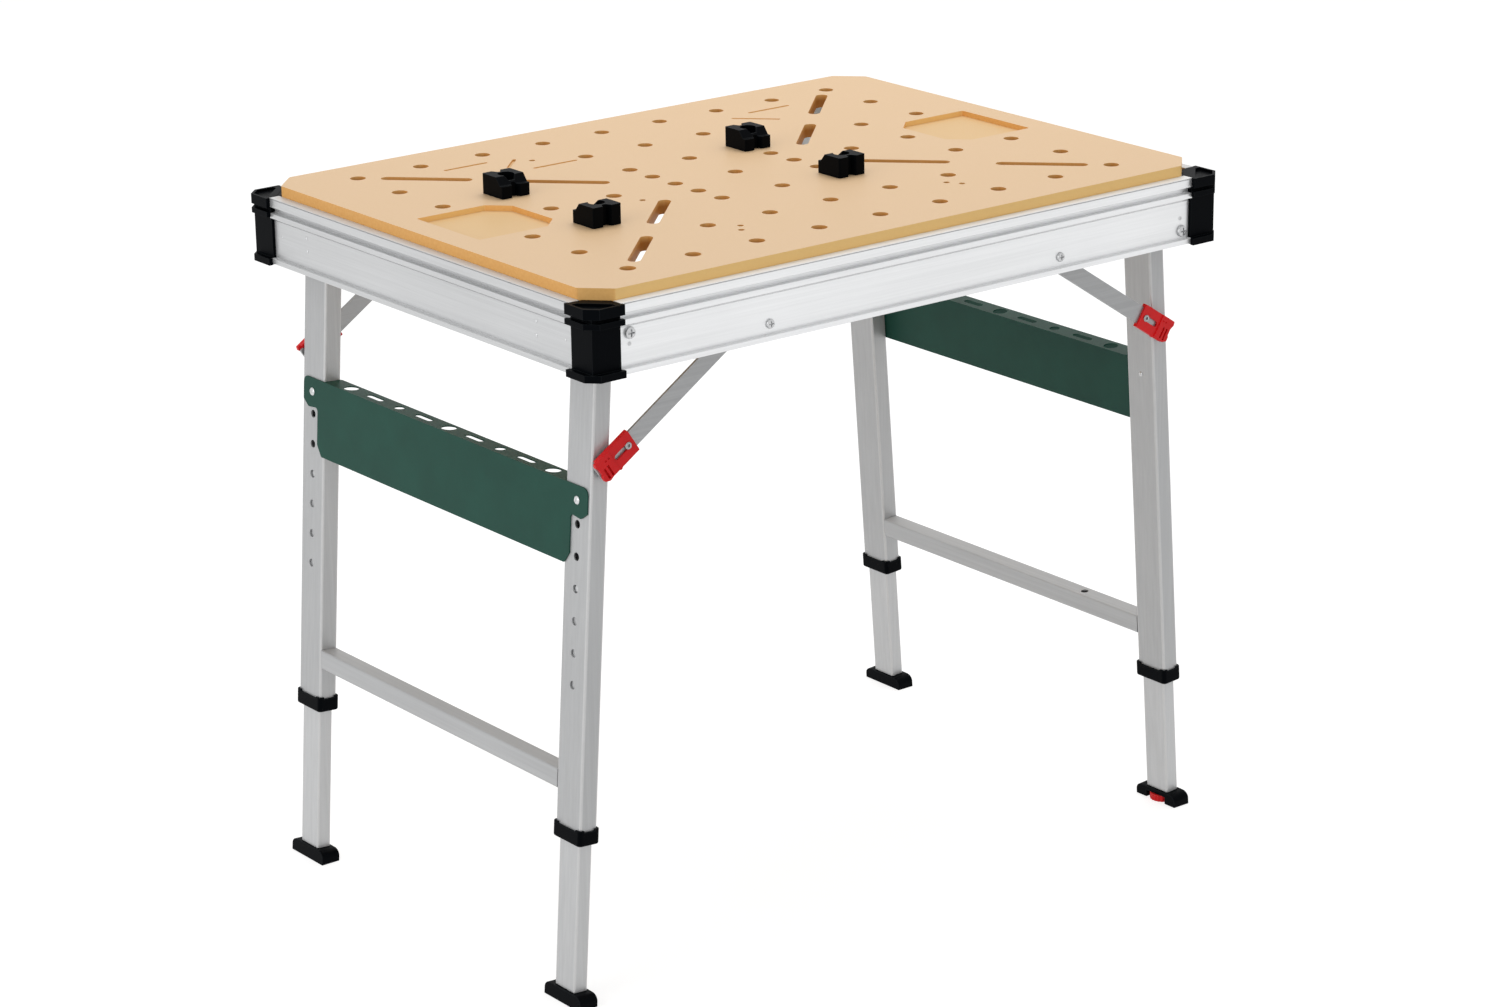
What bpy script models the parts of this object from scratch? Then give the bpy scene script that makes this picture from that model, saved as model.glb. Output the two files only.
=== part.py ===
"""Folding workbench: a perforated board in an aluminium frame, on two folding pairs of height-adjustable legs.

Metres, +Z up. The origin is on the floor under the middle of the bench. +X runs along the long side and
+Y to the back. Every moving piece hangs from an empty, or has its origin, on its joint's axis.
"""
import math

import bmesh
import bpy
from mathutils import Matrix, Vector

MM = 0.001
GAP = 0.3 * MM                    # clearance between pieces that touch
ROUND_SIDES = 16                  # sides of a round hole or bolt
SMALL_SIDES = 10                  # sides of a small round piece
SIDES = {"left": -1, "right": 1}
ENDS = {"front": -1, "back": 1}
CORNERS = [(end + "_" + side, SIDES[side], ENDS[end]) for end in ENDS for side in SIDES]

# Worktop board
BOARD_LENGTH = 960 * MM
BOARD_WIDTH = 702 * MM
BOARD_THICKNESS = 18 * MM
BOARD_TOP = 903 * MM              # working height
BOARD_CORNER_CUT = 33 * MM
BOARD_ARRIS = 1.2 * MM
HOLE_PITCH = 96 * MM
DOG_HOLE_RADIUS = 10 * MM
SCREW_HOLE_RADIUS = 4 * MM
SLOT_WIDTH = 16 * MM
SLOT_LENGTH = 118 * MM
OUTER_SLOT_INSET = (160 * MM, 124 * MM)  # from the board's edges to the middle of the slots near the corners
INNER_SLOT = (197 * MM, 100 * MM)  # middle of the slots near the centre
POCKET_LENGTH = 126 * MM
POCKET_WIDTH = 135 * MM
POCKET_DEPTH = 7 * MM
POCKET_CORNER = 25 * MM
POCKET_FROM_END = 38 * MM
GROOVE_WIDTH = 5 * MM
GROOVE_DEPTH = 2.5 * MM

# Aluminium frame of four extruded rails, with the rail's levels measured from its underside
BOARD_ABOVE_FRAME = 13.6 * MM
FRAME_HEIGHT = 85.8 * MM
CAP_PAST_BOARD = (13 * MM, 13.5 * MM)  # from the board's edges to the outsides of the corner caps
LIP_PROUD = 2 * MM                # how far the rail's lips stand out from the cap bodies
WEB_RECESS = 6 * MM
WEB_THICKNESS = 2.5 * MM
BOTTOM_LIP_HEIGHT = 8.9 * MM
MID_LIP = (60.1 * MM, 65.1 * MM)
TOP_LIP_BOTTOM = 70 * MM
GROOVE_RECESS = 3 * MM
SHELF_REACH = 30 * MM             # from the lips' face to the inner edge of the board's shelf
SHELF_THICKNESS = 3 * MM
FOOT_FLANGE_REACH = 16 * MM
FOOT_FLANGE_THICKNESS = 2.5 * MM

# Plastic corner caps
CAP_ARM = 41 * MM
CAP_WALL = 4 * MM
CAP_ROOF = 9 * MM
CAP_DROP = 2 * MM                 # how far a cap reaches below the rails
CAP_FLANGE_PROUD = 7 * MM
CAP_FLANGE_CORNER = 14 * MM
CAP_FLANGE_INSET = 0.5 * MM
CAP_BOTTOM_FLANGE = 8.9 * MM
CAP_MID_FLANGE = (61.1 * MM, 68 * MM)
CAP_TOP_FLANGE = 12.8 * MM
CAP_FLANGE_DEPTH = 8 * MM         # how far a flange runs in over the rails
CAP_FROM_BOARD = 1 * MM           # clear space between a cap and the board's cut corner

# Legs
SPLAY = math.radians(4.0)
LEG_FROM_END = 52.6 * MM          # from the cap's end to the leg's centre line where it leaves the frame
LEG_FROM_SIDE = 75.5 * MM
HINGE_ABOVE_FRAME = {"left": 47.4 * MM, "right": 17.4 * MM}  # unlike, so that the pairs fold over each other
UPPER_LEG = (25 * MM, 50 * MM)    # across X and Y
UPPER_WALL = 1.8 * MM
LEG_CORNER = 2.5 * MM
LEG_HEAD = 14 * MM                # tube above its hinge
LEFT_LEG_BOTTOM = 212.5 * MM
RIGHT_LEGS_LOWER = 28.5 * MM       # how much lower the right pair's tubes hang, as their hinges do
INNER_LEG = (20 * MM, 40 * MM)
INNER_WALL = 1.6 * MM
INNER_LEG_BELOW_FRAME = 211.6 * MM
HEIGHT_HOLE_PITCH = 40 * MM
HEIGHT_HOLE_RADIUS = 5.2 * MM
BUTTON_BELOW_TOP = 66.5 * MM      # from the inner leg's top down to its button
HOLES_ABOVE = 2
HOLES_BELOW = 3
BUTTON_RADIUS = 4.7 * MM
BUTTON_FLANGE_RADIUS = 6.5 * MM
BUTTON_FLANGE = 1.5 * MM
CROSSBAR = 25 * MM
CROSSBAR_WALL = 1.8 * MM
LEFT_CROSSBAR_HEIGHT = 281 * MM
COLLAR_DROP = 3.5 * MM            # how far a collar reaches below the upper leg
COLLAR_HEIGHT = 20 * MM
COLLAR_PROUD = 3 * MM

# Feet
FOOT_THICKNESS = 27 * MM
FOOT_WIDTH = 74 * MM
FOOT_HEIGHT = 17 * MM
FOOT_SHOULDER = (11 * MM, 9 * MM)
FOOT_PLUG = 22 * MM
WHEEL_RADIUS = 17 * MM            # wider than the foot, so that both sides of the rim can be turned
WHEEL_THICKNESS = 9 * MM
WHEEL_OFF_FLOOR = 0.6 * MM
WHEEL_NOTCHES = 16
WHEEL_NOTCH = 0.8 * MM
WHEEL_STUD_RADIUS = 3 * MM
WHEEL_STUD = 8 * MM

# Green tool panels
PANEL_BELOW_FRAME = {"left": 150.6 * MM, "right": 169.1 * MM}
PANEL_HEIGHT = 100 * MM
PANEL_OVER_LEG = 12.5 * MM        # how far the panel laps over the legs below its ears
PANEL_EAR_INSET = 4.5 * MM        # from the leg's outer side to the end of an ear
PANEL_EAR_HEIGHT = 39 * MM
PANEL_SHEET = 1.5 * MM
PANEL_SHELF = 26 * MM
PANEL_CORNER = (10 * MM, 14 * MM)
PANEL_HOLE_PITCH = 55 * MM
PANEL_ROUND_RADIUS = 10 * MM
PANEL_SMALL_RADIUS = 7 * MM
PANEL_SLOT = (9 * MM, 35 * MM)

# Struts with their red locks
STRUT_ANGLE = math.radians(33.4)  # below the horizontal, from the frame down to the leg
STRUT_PIVOT_FROM_LEG = 209.4 * MM
STRUT_PIVOT_ABOVE_FRAME = 19.4 * MM
STRUT_WIDTH = 23 * MM
STRUT_THICKNESS = 3.5 * MM
STRUT_FROM_LEG = 3.5 * MM         # clear space between the leg's side and the strut, past the collars
STRUT_PAST_HOOK = 10 * MM
HOOK_MOUTH = 5 * MM               # how much the notch widens towards its mouth
GUIDE_FROM_HOOK = 40 * MM
GUIDE_RADIUS = 2.5 * MM
GUIDE_HEAD_RADIUS = 4.5 * MM
GUIDE_HEAD = 1.3 * MM
LOCK_LENGTH = 60 * MM
LOCK_WIDTH = 31.7 * MM
LOCK_PLATE = 2.8 * MM
LOCK_PAST_HOOK = 10.5 * MM
LOCK_UPPER_FLANGE = 26 * MM
LOCK_TRAVEL = 20 * MM

# Turned bolts
HINGE_BOLT_RADIUS = 5 * MM
HINGE_SPACER_RADIUS = 9 * MM
HINGE_NUT_RADIUS = 8.5 * MM
HINGE_NUT = 5.5 * MM
HINGE_HEAD_RADIUS = 7.5 * MM
HINGE_HEAD = 4.5 * MM
STRUT_BOLT_RADIUS = 4 * MM
STRUT_SPACER_RADIUS = 7 * MM
STRUT_INNER_HEAD = 1.6 * MM
STRUT_HEAD_RADIUS = 6 * MM
STRUT_HEAD = 3 * MM
HOOK_RADIUS = 4 * MM
HOOK_WASHER_RADIUS = 7 * MM
HOOK_WASHER = 1.9 * MM
HOOK_NUT = 3.5 * MM

# Bench dogs
DOG_SIZE = (42 * MM, 44 * MM, 26 * MM)
DOG_PEG_RADIUS = 9.7 * MM
DOG_PEG_SHORT = 1 * MM            # how far the peg ends above the board's underside
DOG_SIDE_GROOVE = (13 * MM, 8 * MM)
DOG_BORE_RADIUS = 10.5 * MM
DOG_BORE_FLOOR = 8 * MM
DOG_TOP_NOTCH = (16 * MM, 9 * MM, 6 * MM)  # width at the top and at the bottom, and depth
DOG_LEDGE = (6 * MM, 16 * MM)     # depth and height
DOG_SLANT = 8 * MM                # how far the slope above the ledge runs in
DOG_PLACES = [("left", -3), ("right", 1)]  # columns of the hole grid
DOG_ROW = 1

# Colours
TAN = (0.62, 0.44, 0.29)
ALUMINIUM = (0.68, 0.69, 0.70)
STEEL = (0.55, 0.56, 0.58)
GREEN = (0.030, 0.085, 0.062)
BLACK = (0.012, 0.013, 0.015)
RED = (0.55, 0.025, 0.022)

# Sizes that follow from the ones above
BOARD_BOTTOM = BOARD_TOP - BOARD_THICKNESS
OUTER_SLOT = (BOARD_LENGTH / 2 - OUTER_SLOT_INSET[0], BOARD_WIDTH / 2 - OUTER_SLOT_INSET[1])
FRAME_TOP = BOARD_TOP - BOARD_ABOVE_FRAME
FRAME_BOTTOM = FRAME_TOP - FRAME_HEIGHT
CAP_BODY_LENGTH = BOARD_LENGTH + 2 * CAP_PAST_BOARD[0]
CAP_BODY_WIDTH = BOARD_WIDTH + 2 * CAP_PAST_BOARD[1]
LEG_X_AT_FRAME = CAP_BODY_LENGTH / 2 - LEG_FROM_END
LEG_Y = CAP_BODY_WIDTH / 2 - LEG_FROM_SIDE
HINGE_HEIGHT = {side: FRAME_BOTTOM + rise for side, rise in HINGE_ABOVE_FRAME.items()}
LEGS_LOWER = {"left": 0.0, "right": RIGHT_LEGS_LOWER}
UPPER_LEG_BOTTOM = {side: LEFT_LEG_BOTTOM - lower for side, lower in LEGS_LOWER.items()}
INNER_LEG_TOP = {side: FRAME_BOTTOM - INNER_LEG_BELOW_FRAME - lower for side, lower in LEGS_LOWER.items()}
BUTTON_HEIGHT = {side: top - BUTTON_BELOW_TOP for side, top in INNER_LEG_TOP.items()}
CROSSBAR_HEIGHT = {side: LEFT_CROSSBAR_HEIGHT - lower for side, lower in LEGS_LOWER.items()}
COLLAR_BOTTOM = {side: bottom - COLLAR_DROP for side, bottom in UPPER_LEG_BOTTOM.items()}
PANEL_TOP = {side: FRAME_BOTTOM - below for side, below in PANEL_BELOW_FRAME.items()}
STRUT_PIVOT_X = LEG_X_AT_FRAME - STRUT_PIVOT_FROM_LEG
STRUT_PIVOT_HEIGHT = FRAME_BOTTOM + STRUT_PIVOT_ABOVE_FRAME
LIP_X = CAP_BODY_LENGTH / 2 + LIP_PROUD
LIP_Y = CAP_BODY_WIDTH / 2 + LIP_PROUD
WEB_INNER = WEB_RECESS + WEB_THICKNESS
RAIL_WEB_INNER_Y = LIP_Y - WEB_INNER
RAIL_WEB_OUTER_Y = LIP_Y - WEB_RECESS
LEG_SIDE_Y = LEG_Y + UPPER_LEG[1] / 2
LEG_INNER_Y = LEG_Y - UPPER_LEG[1] / 2
STRUT_INNER_Y = LEG_SIDE_Y + STRUT_FROM_LEG
STRUT_OUTER_Y = STRUT_INNER_Y + STRUT_THICKNESS


def material(name, colour, roughness, metallic=0.0):
    """A Principled material with one colour."""
    made = bpy.data.materials.new(name)
    made.use_nodes = True
    shader = made.node_tree.nodes["Principled BSDF"]
    shader.inputs["Base Color"].default_value = (*colour, 1.0)
    shader.inputs["Roughness"].default_value = roughness
    shader.inputs["Metallic"].default_value = metallic
    return made


def arc(centre, radii, start, end, steps):
    """Points on an elliptic arc, with angles in degrees."""
    points = []
    for i in range(steps + 1):
        angle = math.radians(start + (end - start) * i / steps)
        points.append((centre[0] + radii[0] * math.cos(angle), centre[1] + radii[1] * math.sin(angle)))
    return points


def rounded_rectangle(width, depth, radius, steps=2):
    """The outline of a rectangle with round corners, around the origin."""
    x = width / 2 - radius
    y = depth / 2 - radius
    corners = [(x, y, 0), (-x, y, 90), (-x, -y, 180), (x, -y, 270)]
    points = []
    for cx, cy, start in corners:
        points += arc((cx, cy), (radius, radius), start, start + 90, steps)
    return points


def finish_mesh(bm, name):
    """Closes a bmesh into mesh data whose faces point out."""
    bmesh.ops.recalc_face_normals(bm, faces=bm.faces)
    mesh = bpy.data.meshes.new(name)
    bm.to_mesh(mesh)
    bm.free()
    return mesh


def prism(outline, low, high, axis="Z"):
    """An outline drawn out from low to high. The outline is in XY for axis Z, XZ for Y and YZ for X."""
    place = {
        "Z": lambda a, b, t: (a, b, t),
        "Y": lambda a, b, t: (a, t, b),
        "X": lambda a, b, t: (t, a, b),
    }[axis]
    bm = bmesh.new()
    rings = [[bm.verts.new(place(a, b, t)) for a, b in outline] for t in (low, high)]
    count = len(outline)
    for i in range(count):
        j = (i + 1) % count
        bm.faces.new((rings[0][i], rings[0][j], rings[1][j], rings[1][i]))
    for ring in rings:
        bm.faces.new(ring)
    return finish_mesh(bm, "prism")


def block(x, y, z):
    """A box between the given ends, each a (low, high) pair."""
    outline = [(x[0], y[0]), (x[1], y[0]), (x[1], y[1]), (x[0], y[1])]
    return prism(outline, z[0], z[1])


def loft(sections):
    """A ring-shaped body: each section is (outline, height), joined in turn and back to the first."""
    bm = bmesh.new()
    rings = [[bm.verts.new((a, b, height)) for a, b in outline] for outline, height in sections]
    count = len(rings[0])
    for k, ring in enumerate(rings):
        after = rings[(k + 1) % len(rings)]
        for i in range(count):
            j = (i + 1) % count
            bm.faces.new((ring[i], ring[j], after[j], after[i]))
    return finish_mesh(bm, "loft")


def tube(width, depth, radius, wall, low, high):
    """A rectangular tube along Z, open at both ends."""
    outer = rounded_rectangle(width, depth, radius)
    inner = rounded_rectangle(width - 2 * wall, depth - 2 * wall, max(radius - wall, 0.4 * MM))
    return loft([(outer, low), (outer, high), (inner, high), (inner, low)])


def turned(profile, sides, axis="Z"):
    """A solid turned from (radius, position) points along an axis, closed on the axis at both ends."""
    place = {
        "Z": lambda a, b, t: (a, b, t),
        "Y": lambda a, b, t: (a, t, b),
        "X": lambda a, b, t: (t, a, b),
    }[axis]
    bm = bmesh.new()
    rings = []
    for radius, t in profile:
        ring = []
        for i in range(sides):
            angle = 2 * math.pi * (i + 0.5) / sides
            ring.append(bm.verts.new(place(radius * math.cos(angle), radius * math.sin(angle), t)))
        rings.append(ring)
    for ring, after in zip(rings, rings[1:]):
        for i in range(sides):
            j = (i + 1) % sides
            bm.faces.new((ring[i], ring[j], after[j], after[i]))
    bm.faces.new(rings[0])
    bm.faces.new(rings[-1])
    return finish_mesh(bm, "turned")


def pin(radius, low, high, axis="Z", at=(0, 0, 0), sides=ROUND_SIDES):
    """A plain round pin or hole cutter, moved to a place."""
    mesh = turned([(radius, low), (radius, high)], sides, axis)
    mesh.transform(Matrix.Translation(Vector(at)))
    return mesh


def merged(meshes):
    """Several separate closed meshes in one, for a cutter."""
    bm = bmesh.new()
    for mesh in meshes:
        bm.from_mesh(mesh)
        bpy.data.meshes.remove(mesh)
    return finish_mesh(bm, "cutters")


def combine(piece, mesh, operation):
    """Cuts a mesh from a piece, or joins it on, with an exact Boolean, and keeps the result."""
    tool = bpy.data.objects.new("tool", mesh)
    bpy.context.scene.collection.objects.link(tool)
    tool.hide_render = True
    tool.display_type = "WIRE"
    boolean = piece.modifiers.new(operation.lower(), "BOOLEAN")
    boolean.operation = operation
    boolean.solver = "EXACT"
    boolean.object = tool
    bpy.context.view_layer.update()
    graph = bpy.context.evaluated_depsgraph_get()
    result = bpy.data.meshes.new_from_object(piece.evaluated_get(graph))
    piece.modifiers.clear()
    old = piece.data
    piece.data = result
    bpy.data.meshes.remove(old)
    bpy.data.objects.remove(tool)
    bpy.data.meshes.remove(mesh)


def cut(piece, mesh):
    combine(piece, mesh, "DIFFERENCE")


def join(piece, mesh):
    combine(piece, mesh, "UNION")


def make(name, mesh, finish):
    """A named object at the origin."""
    mesh.name = name
    piece = bpy.data.objects.new(name, mesh)
    bpy.context.scene.collection.objects.link(piece)
    piece["finish"] = finish.name
    return piece


def put(piece, at=(0, 0, 0), turn_y=0.0, parent=None, turn=None):
    """Places a finished piece, gives it its material and shades its round faces smooth."""
    piece.location = at
    piece.rotation_euler = turn or (0.0, turn_y, 0.0)
    piece.parent = parent
    if piece.type == "MESH":
        piece.data.materials.clear()
        piece.data.materials.append(bpy.data.materials[piece["finish"]])
        piece.data.shade_smooth()
        piece.data.set_sharp_from_angle(angle=math.radians(30))
    return piece


def joint(name, at, turn_y=0.0, parent=None):
    """An empty on a joint's axis, which carries the pieces that move with it."""
    empty = bpy.data.objects.new(name, None)
    bpy.context.scene.collection.objects.link(empty)
    return put(empty, at, turn_y, parent)


def hinge_x(side):
    """Where the leg's centre line crosses its hinge, as a distance from the middle."""
    return LEG_X_AT_FRAME + math.tan(SPLAY) * (FRAME_BOTTOM - HINGE_HEIGHT[side])


def down_leg(side, height):
    """A height above the floor as a place on the leg's own Z axis, which starts at the hinge."""
    return -(HINGE_HEIGHT[side] - height) / math.cos(SPLAY)


def hook_place():
    """Where the strut's centre line crosses the leg's: its length, and the height above the floor."""
    slope = math.tan(STRUT_ANGLE)
    lean = math.tan(SPLAY)
    drop = (LEG_X_AT_FRAME + lean * (FRAME_BOTTOM - STRUT_PIVOT_HEIGHT) - STRUT_PIVOT_X) / (1 / slope - lean)
    return drop / math.sin(STRUT_ANGLE), STRUT_PIVOT_HEIGHT - drop


def slot_outline(centre, direction, length, width):
    """A straight slot with round ends, along a direction in degrees."""
    run = (length - width) / 2
    points = arc((run, 0), (width / 2, width / 2), -90, 90, 6)
    points += arc((-run, 0), (width / 2, width / 2), 90, 270, 6)
    turn = Matrix.Rotation(math.radians(direction), 2)
    placed = []
    for point in points:
        spot = turn @ Vector(point)
        placed.append((centre[0] + spot.x, centre[1] + spot.y))
    return placed


def dog_hole_places():
    """Grid places (column, row) of the dog holes, then the four between the middle rows."""
    rows = {
        3: range(-4, 5),
        2: (-4, -1, 0, 1, 4),
        1: (-4, -3, -1, 0, 1, 3, 4),
        0: range(-3, 4),
        -1: (-4, -3, -1, 0, 1, 3, 4),
        -2: (-4, -2, -1, 0, 1, 2, 4),
        -3: range(-4, 5),
    }
    places = [(column, row) for row, columns in rows.items() for column in columns]
    return places + [(column, row) for column in (-1, 1) for row in (-0.5, 0.5)]


def screw_hole_places():
    """The small holes in the board."""
    return [
        (-161 * MM, 220 * MM),
        (-178 * MM, -41 * MM),
        (-175 * MM, -236 * MM),
        (-163 * MM, -219 * MM),
        (165 * MM, -220 * MM),
        (176 * MM, -237 * MM),
    ]


def groove_places():
    """Shallow setting-out grooves: middle, direction in degrees and length."""
    back = BOARD_WIDTH / 2
    return [
        ((-245 * MM, back - 102 * MM), 0, 67 * MM),
        ((-150 * MM, back - 167 * MM), 0, 69 * MM),
        ((251 * MM, back - 103 * MM), 0, 70 * MM),
        ((-191 * MM, back - 127.5 * MM), 45, 46 * MM),
        ((202.5 * MM, back - 136.5 * MM), -45, 66 * MM),
    ]


def pocket_outline(side):
    """A shallow tray at one end of the board. Its corners away from the end are cut off."""
    outer = BOARD_LENGTH / 2 - POCKET_FROM_END
    inner = outer - POCKET_LENGTH
    half = POCKET_WIDTH / 2
    points = [
        (outer, -half),
        (outer, half),
        (inner + POCKET_CORNER, half),
        (inner, half - POCKET_CORNER),
        (inner, -half + POCKET_CORNER),
        (inner + POCKET_CORNER, -half),
    ]
    return [(side * x, y) for x, y in points]


def cut_corner_rectangle(length, width, corner):
    """A rectangle around the origin with its corners cut off at 45 degrees."""
    x = length / 2
    y = width / 2
    points = []
    for sx, sy in ((1, 1), (-1, 1), (-1, -1), (1, -1)):
        pair = [(sx * x, sy * (y - corner)), (sx * (x - corner), sy * y)]
        points += pair if sx * sy > 0 else pair[::-1]
    return points


def make_worktop():
    """The board, with its dog holes, diagonal slots, trays and grooves."""
    outline = cut_corner_rectangle(BOARD_LENGTH, BOARD_WIDTH, BOARD_CORNER_CUT)
    small = cut_corner_rectangle(BOARD_LENGTH - 2 * BOARD_ARRIS, BOARD_WIDTH - 2 * BOARD_ARRIS, BOARD_CORNER_CUT)
    bm = bmesh.new()
    levels = [(outline, BOARD_BOTTOM), (outline, BOARD_TOP - BOARD_ARRIS), (small, BOARD_TOP)]
    rings = [[bm.verts.new((x, y, z)) for x, y in points] for points, z in levels]
    for ring, after in zip(rings, rings[1:]):
        for i in range(len(ring)):
            j = (i + 1) % len(ring)
            bm.faces.new((ring[i], ring[j], after[j], after[i]))
    bm.faces.new(rings[0])
    bm.faces.new(rings[-1])
    board = make("worktop", finish_mesh(bm, "board"), TAN_BOARD)
    low = BOARD_BOTTOM - POCKET_DEPTH
    high = BOARD_TOP + POCKET_DEPTH
    tools = []
    for column, row in dog_hole_places():
        tools.append(pin(DOG_HOLE_RADIUS, low, high, at=(column * HOLE_PITCH, row * HOLE_PITCH, 0)))
    for x, y in screw_hole_places():
        tools.append(pin(SCREW_HOLE_RADIUS, low, high, at=(x, y, 0), sides=SMALL_SIDES))
    for centre in (OUTER_SLOT, INNER_SLOT):
        for sx in (-1, 1):
            for sy in (-1, 1):
                direction = 45 * sx * sy
                outline = slot_outline((sx * centre[0], sy * centre[1]), direction, SLOT_LENGTH, SLOT_WIDTH)
                tools.append(prism(outline, low, high))
    cut(board, merged(tools))
    trays = [prism(pocket_outline(side), BOARD_TOP - POCKET_DEPTH, high) for side in (-1, 1)]
    cut(board, merged(trays))
    grooves = []
    for centre, direction, length in groove_places():
        outline = slot_outline(centre, direction, length, GROOVE_WIDTH)
        grooves.append(prism(outline, BOARD_TOP - GROOVE_DEPTH, high))
    cut(board, merged(grooves))
    put(board)


def rail_profile(ledge):
    """The extrusion's outline as (depth behind the lips' face, height). The ledge ends at the board."""
    bottom = FRAME_BOTTOM
    shelf_top = BOARD_BOTTOM - GAP
    shelf_bottom = shelf_top - SHELF_THICKNESS
    return [
        (0, bottom),
        (0, bottom + BOTTOM_LIP_HEIGHT),
        (WEB_RECESS, bottom + BOTTOM_LIP_HEIGHT),
        (WEB_RECESS, bottom + MID_LIP[0]),
        (0, bottom + MID_LIP[0]),
        (0, bottom + MID_LIP[1]),
        (GROOVE_RECESS, bottom + MID_LIP[1]),
        (GROOVE_RECESS, bottom + TOP_LIP_BOTTOM),
        (0, bottom + TOP_LIP_BOTTOM),
        (0, FRAME_TOP),
        (ledge, FRAME_TOP),
        (ledge, shelf_top),
        (SHELF_REACH, shelf_top),
        (SHELF_REACH, shelf_bottom),
        (WEB_INNER, shelf_bottom),
        (WEB_INNER, bottom + FOOT_FLANGE_THICKNESS),
        (FOOT_FLANGE_REACH, bottom + FOOT_FLANGE_THICKNESS),
        (FOOT_FLANGE_REACH, bottom),
    ]


def make_long_rail(end):
    """A front or back rail, drilled for the leg and strut bolts."""
    way = ENDS[end]
    half = CAP_BODY_LENGTH / 2 - CAP_ARM - GAP
    profile = rail_profile(LIP_Y - BOARD_WIDTH / 2 - GAP)
    outline = [(way * (LIP_Y - depth), height) for depth, height in profile]
    rail = make(end + "_rail", prism(outline, -half, half, "X"), SATIN_ALUMINIUM)
    low, high = sorted((way * (RAIL_WEB_INNER_Y - GAP), way * (RAIL_WEB_OUTER_Y + GAP)))
    tools = []
    for side, sign in SIDES.items():
        leg_hole = (sign * hinge_x(side), 0, HINGE_HEIGHT[side])
        strut_hole = (sign * STRUT_PIVOT_X, 0, STRUT_PIVOT_HEIGHT)
        tools.append(pin(HINGE_BOLT_RADIUS + GAP, low, high, "Y", leg_hole, SMALL_SIDES))
        tools.append(pin(STRUT_BOLT_RADIUS + GAP, low, high, "Y", strut_hole, SMALL_SIDES))
    cut(rail, merged(tools))
    put(rail)


def make_end_rail(side):
    """A left or right rail."""
    sign = SIDES[side]
    half = CAP_BODY_WIDTH / 2 - CAP_ARM - GAP
    profile = rail_profile(LIP_X - BOARD_LENGTH / 2 - GAP)
    outline = [(sign * (LIP_X - depth), height) for depth, height in profile]
    put(make(side + "_rail", prism(outline, -half, half, "Y"), SATIN_ALUMINIUM))


def cap_outline(wall=0.0):
    """A corner cap's body, as distances in from its outer corner. It stops short of the board's cut corner."""
    corner = (CAP_BODY_LENGTH - BOARD_LENGTH) / 2 + (CAP_BODY_WIDTH - BOARD_WIDTH) / 2 + BOARD_CORNER_CUT
    inner = corner - CAP_ARM - CAP_FROM_BOARD
    reach = CAP_ARM - wall
    lean = inner - wall
    return [(wall, wall), (reach, wall), (reach, lean), (lean, reach), (wall, reach)]


def cap_flange_outline():
    """One of the cap's flanges, with its corner cut off."""
    out = -CAP_FLANGE_PROUD
    reach = CAP_ARM - CAP_FLANGE_INSET
    inner = CAP_FLANGE_DEPTH
    return [
        (out + CAP_FLANGE_CORNER, out),
        (reach, out),
        (reach, inner),
        (inner, reach),
        (out, reach),
        (out, out + CAP_FLANGE_CORNER),
    ]


def make_corner_cap(name, sx, sy):
    """A corner piece: a hollow post with three flanges round the outside."""
    def spread(outline):
        return [(sx * (CAP_BODY_LENGTH / 2 - a), sy * (CAP_BODY_WIDTH / 2 - b)) for a, b in outline]
    bottom = FRAME_BOTTOM - CAP_DROP
    inset = CAP_FLANGE_INSET
    cap = make("corner_cap_" + name, prism(spread(cap_outline()), bottom + inset, FRAME_TOP - inset), BLACK_PLASTIC)
    levels = [
        (bottom, bottom + CAP_BOTTOM_FLANGE),
        (FRAME_BOTTOM + CAP_MID_FLANGE[0], FRAME_BOTTOM + CAP_MID_FLANGE[1]),
        (FRAME_TOP - CAP_TOP_FLANGE, FRAME_TOP),
    ]
    for low, high in levels:
        join(cap, prism(spread(cap_flange_outline()), low, high))
    cut(cap, prism(spread(cap_outline(CAP_WALL)), bottom - CAP_DROP, FRAME_TOP - CAP_ROOF))
    put(cap)


def make_leg_bolt(name, side, sy):
    """The bolt that a leg folds on: a head outside the rail, a spacer, and a nut inside the leg."""
    profile = [
        (HINGE_NUT_RADIUS, LEG_INNER_Y - GAP - HINGE_NUT),
        (HINGE_NUT_RADIUS, LEG_INNER_Y - GAP),
        (HINGE_BOLT_RADIUS, LEG_INNER_Y - GAP),
        (HINGE_BOLT_RADIUS, LEG_SIDE_Y + GAP),
        (HINGE_SPACER_RADIUS, LEG_SIDE_Y + GAP),
        (HINGE_SPACER_RADIUS, RAIL_WEB_INNER_Y - GAP),
        (HINGE_BOLT_RADIUS, RAIL_WEB_INNER_Y - GAP),
        (HINGE_BOLT_RADIUS, RAIL_WEB_OUTER_Y + GAP),
        (HINGE_HEAD_RADIUS, RAIL_WEB_OUTER_Y + GAP),
        (HINGE_HEAD_RADIUS, RAIL_WEB_OUTER_Y + GAP + HINGE_HEAD),
    ]
    mesh = turned([(radius, sy * y) for radius, y in profile], SMALL_SIDES, "Y")
    put(make("leg_bolt_" + name, mesh, BRIGHT_STEEL), (SIDES[side] * hinge_x(side), 0, HINGE_HEIGHT[side]))


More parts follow.
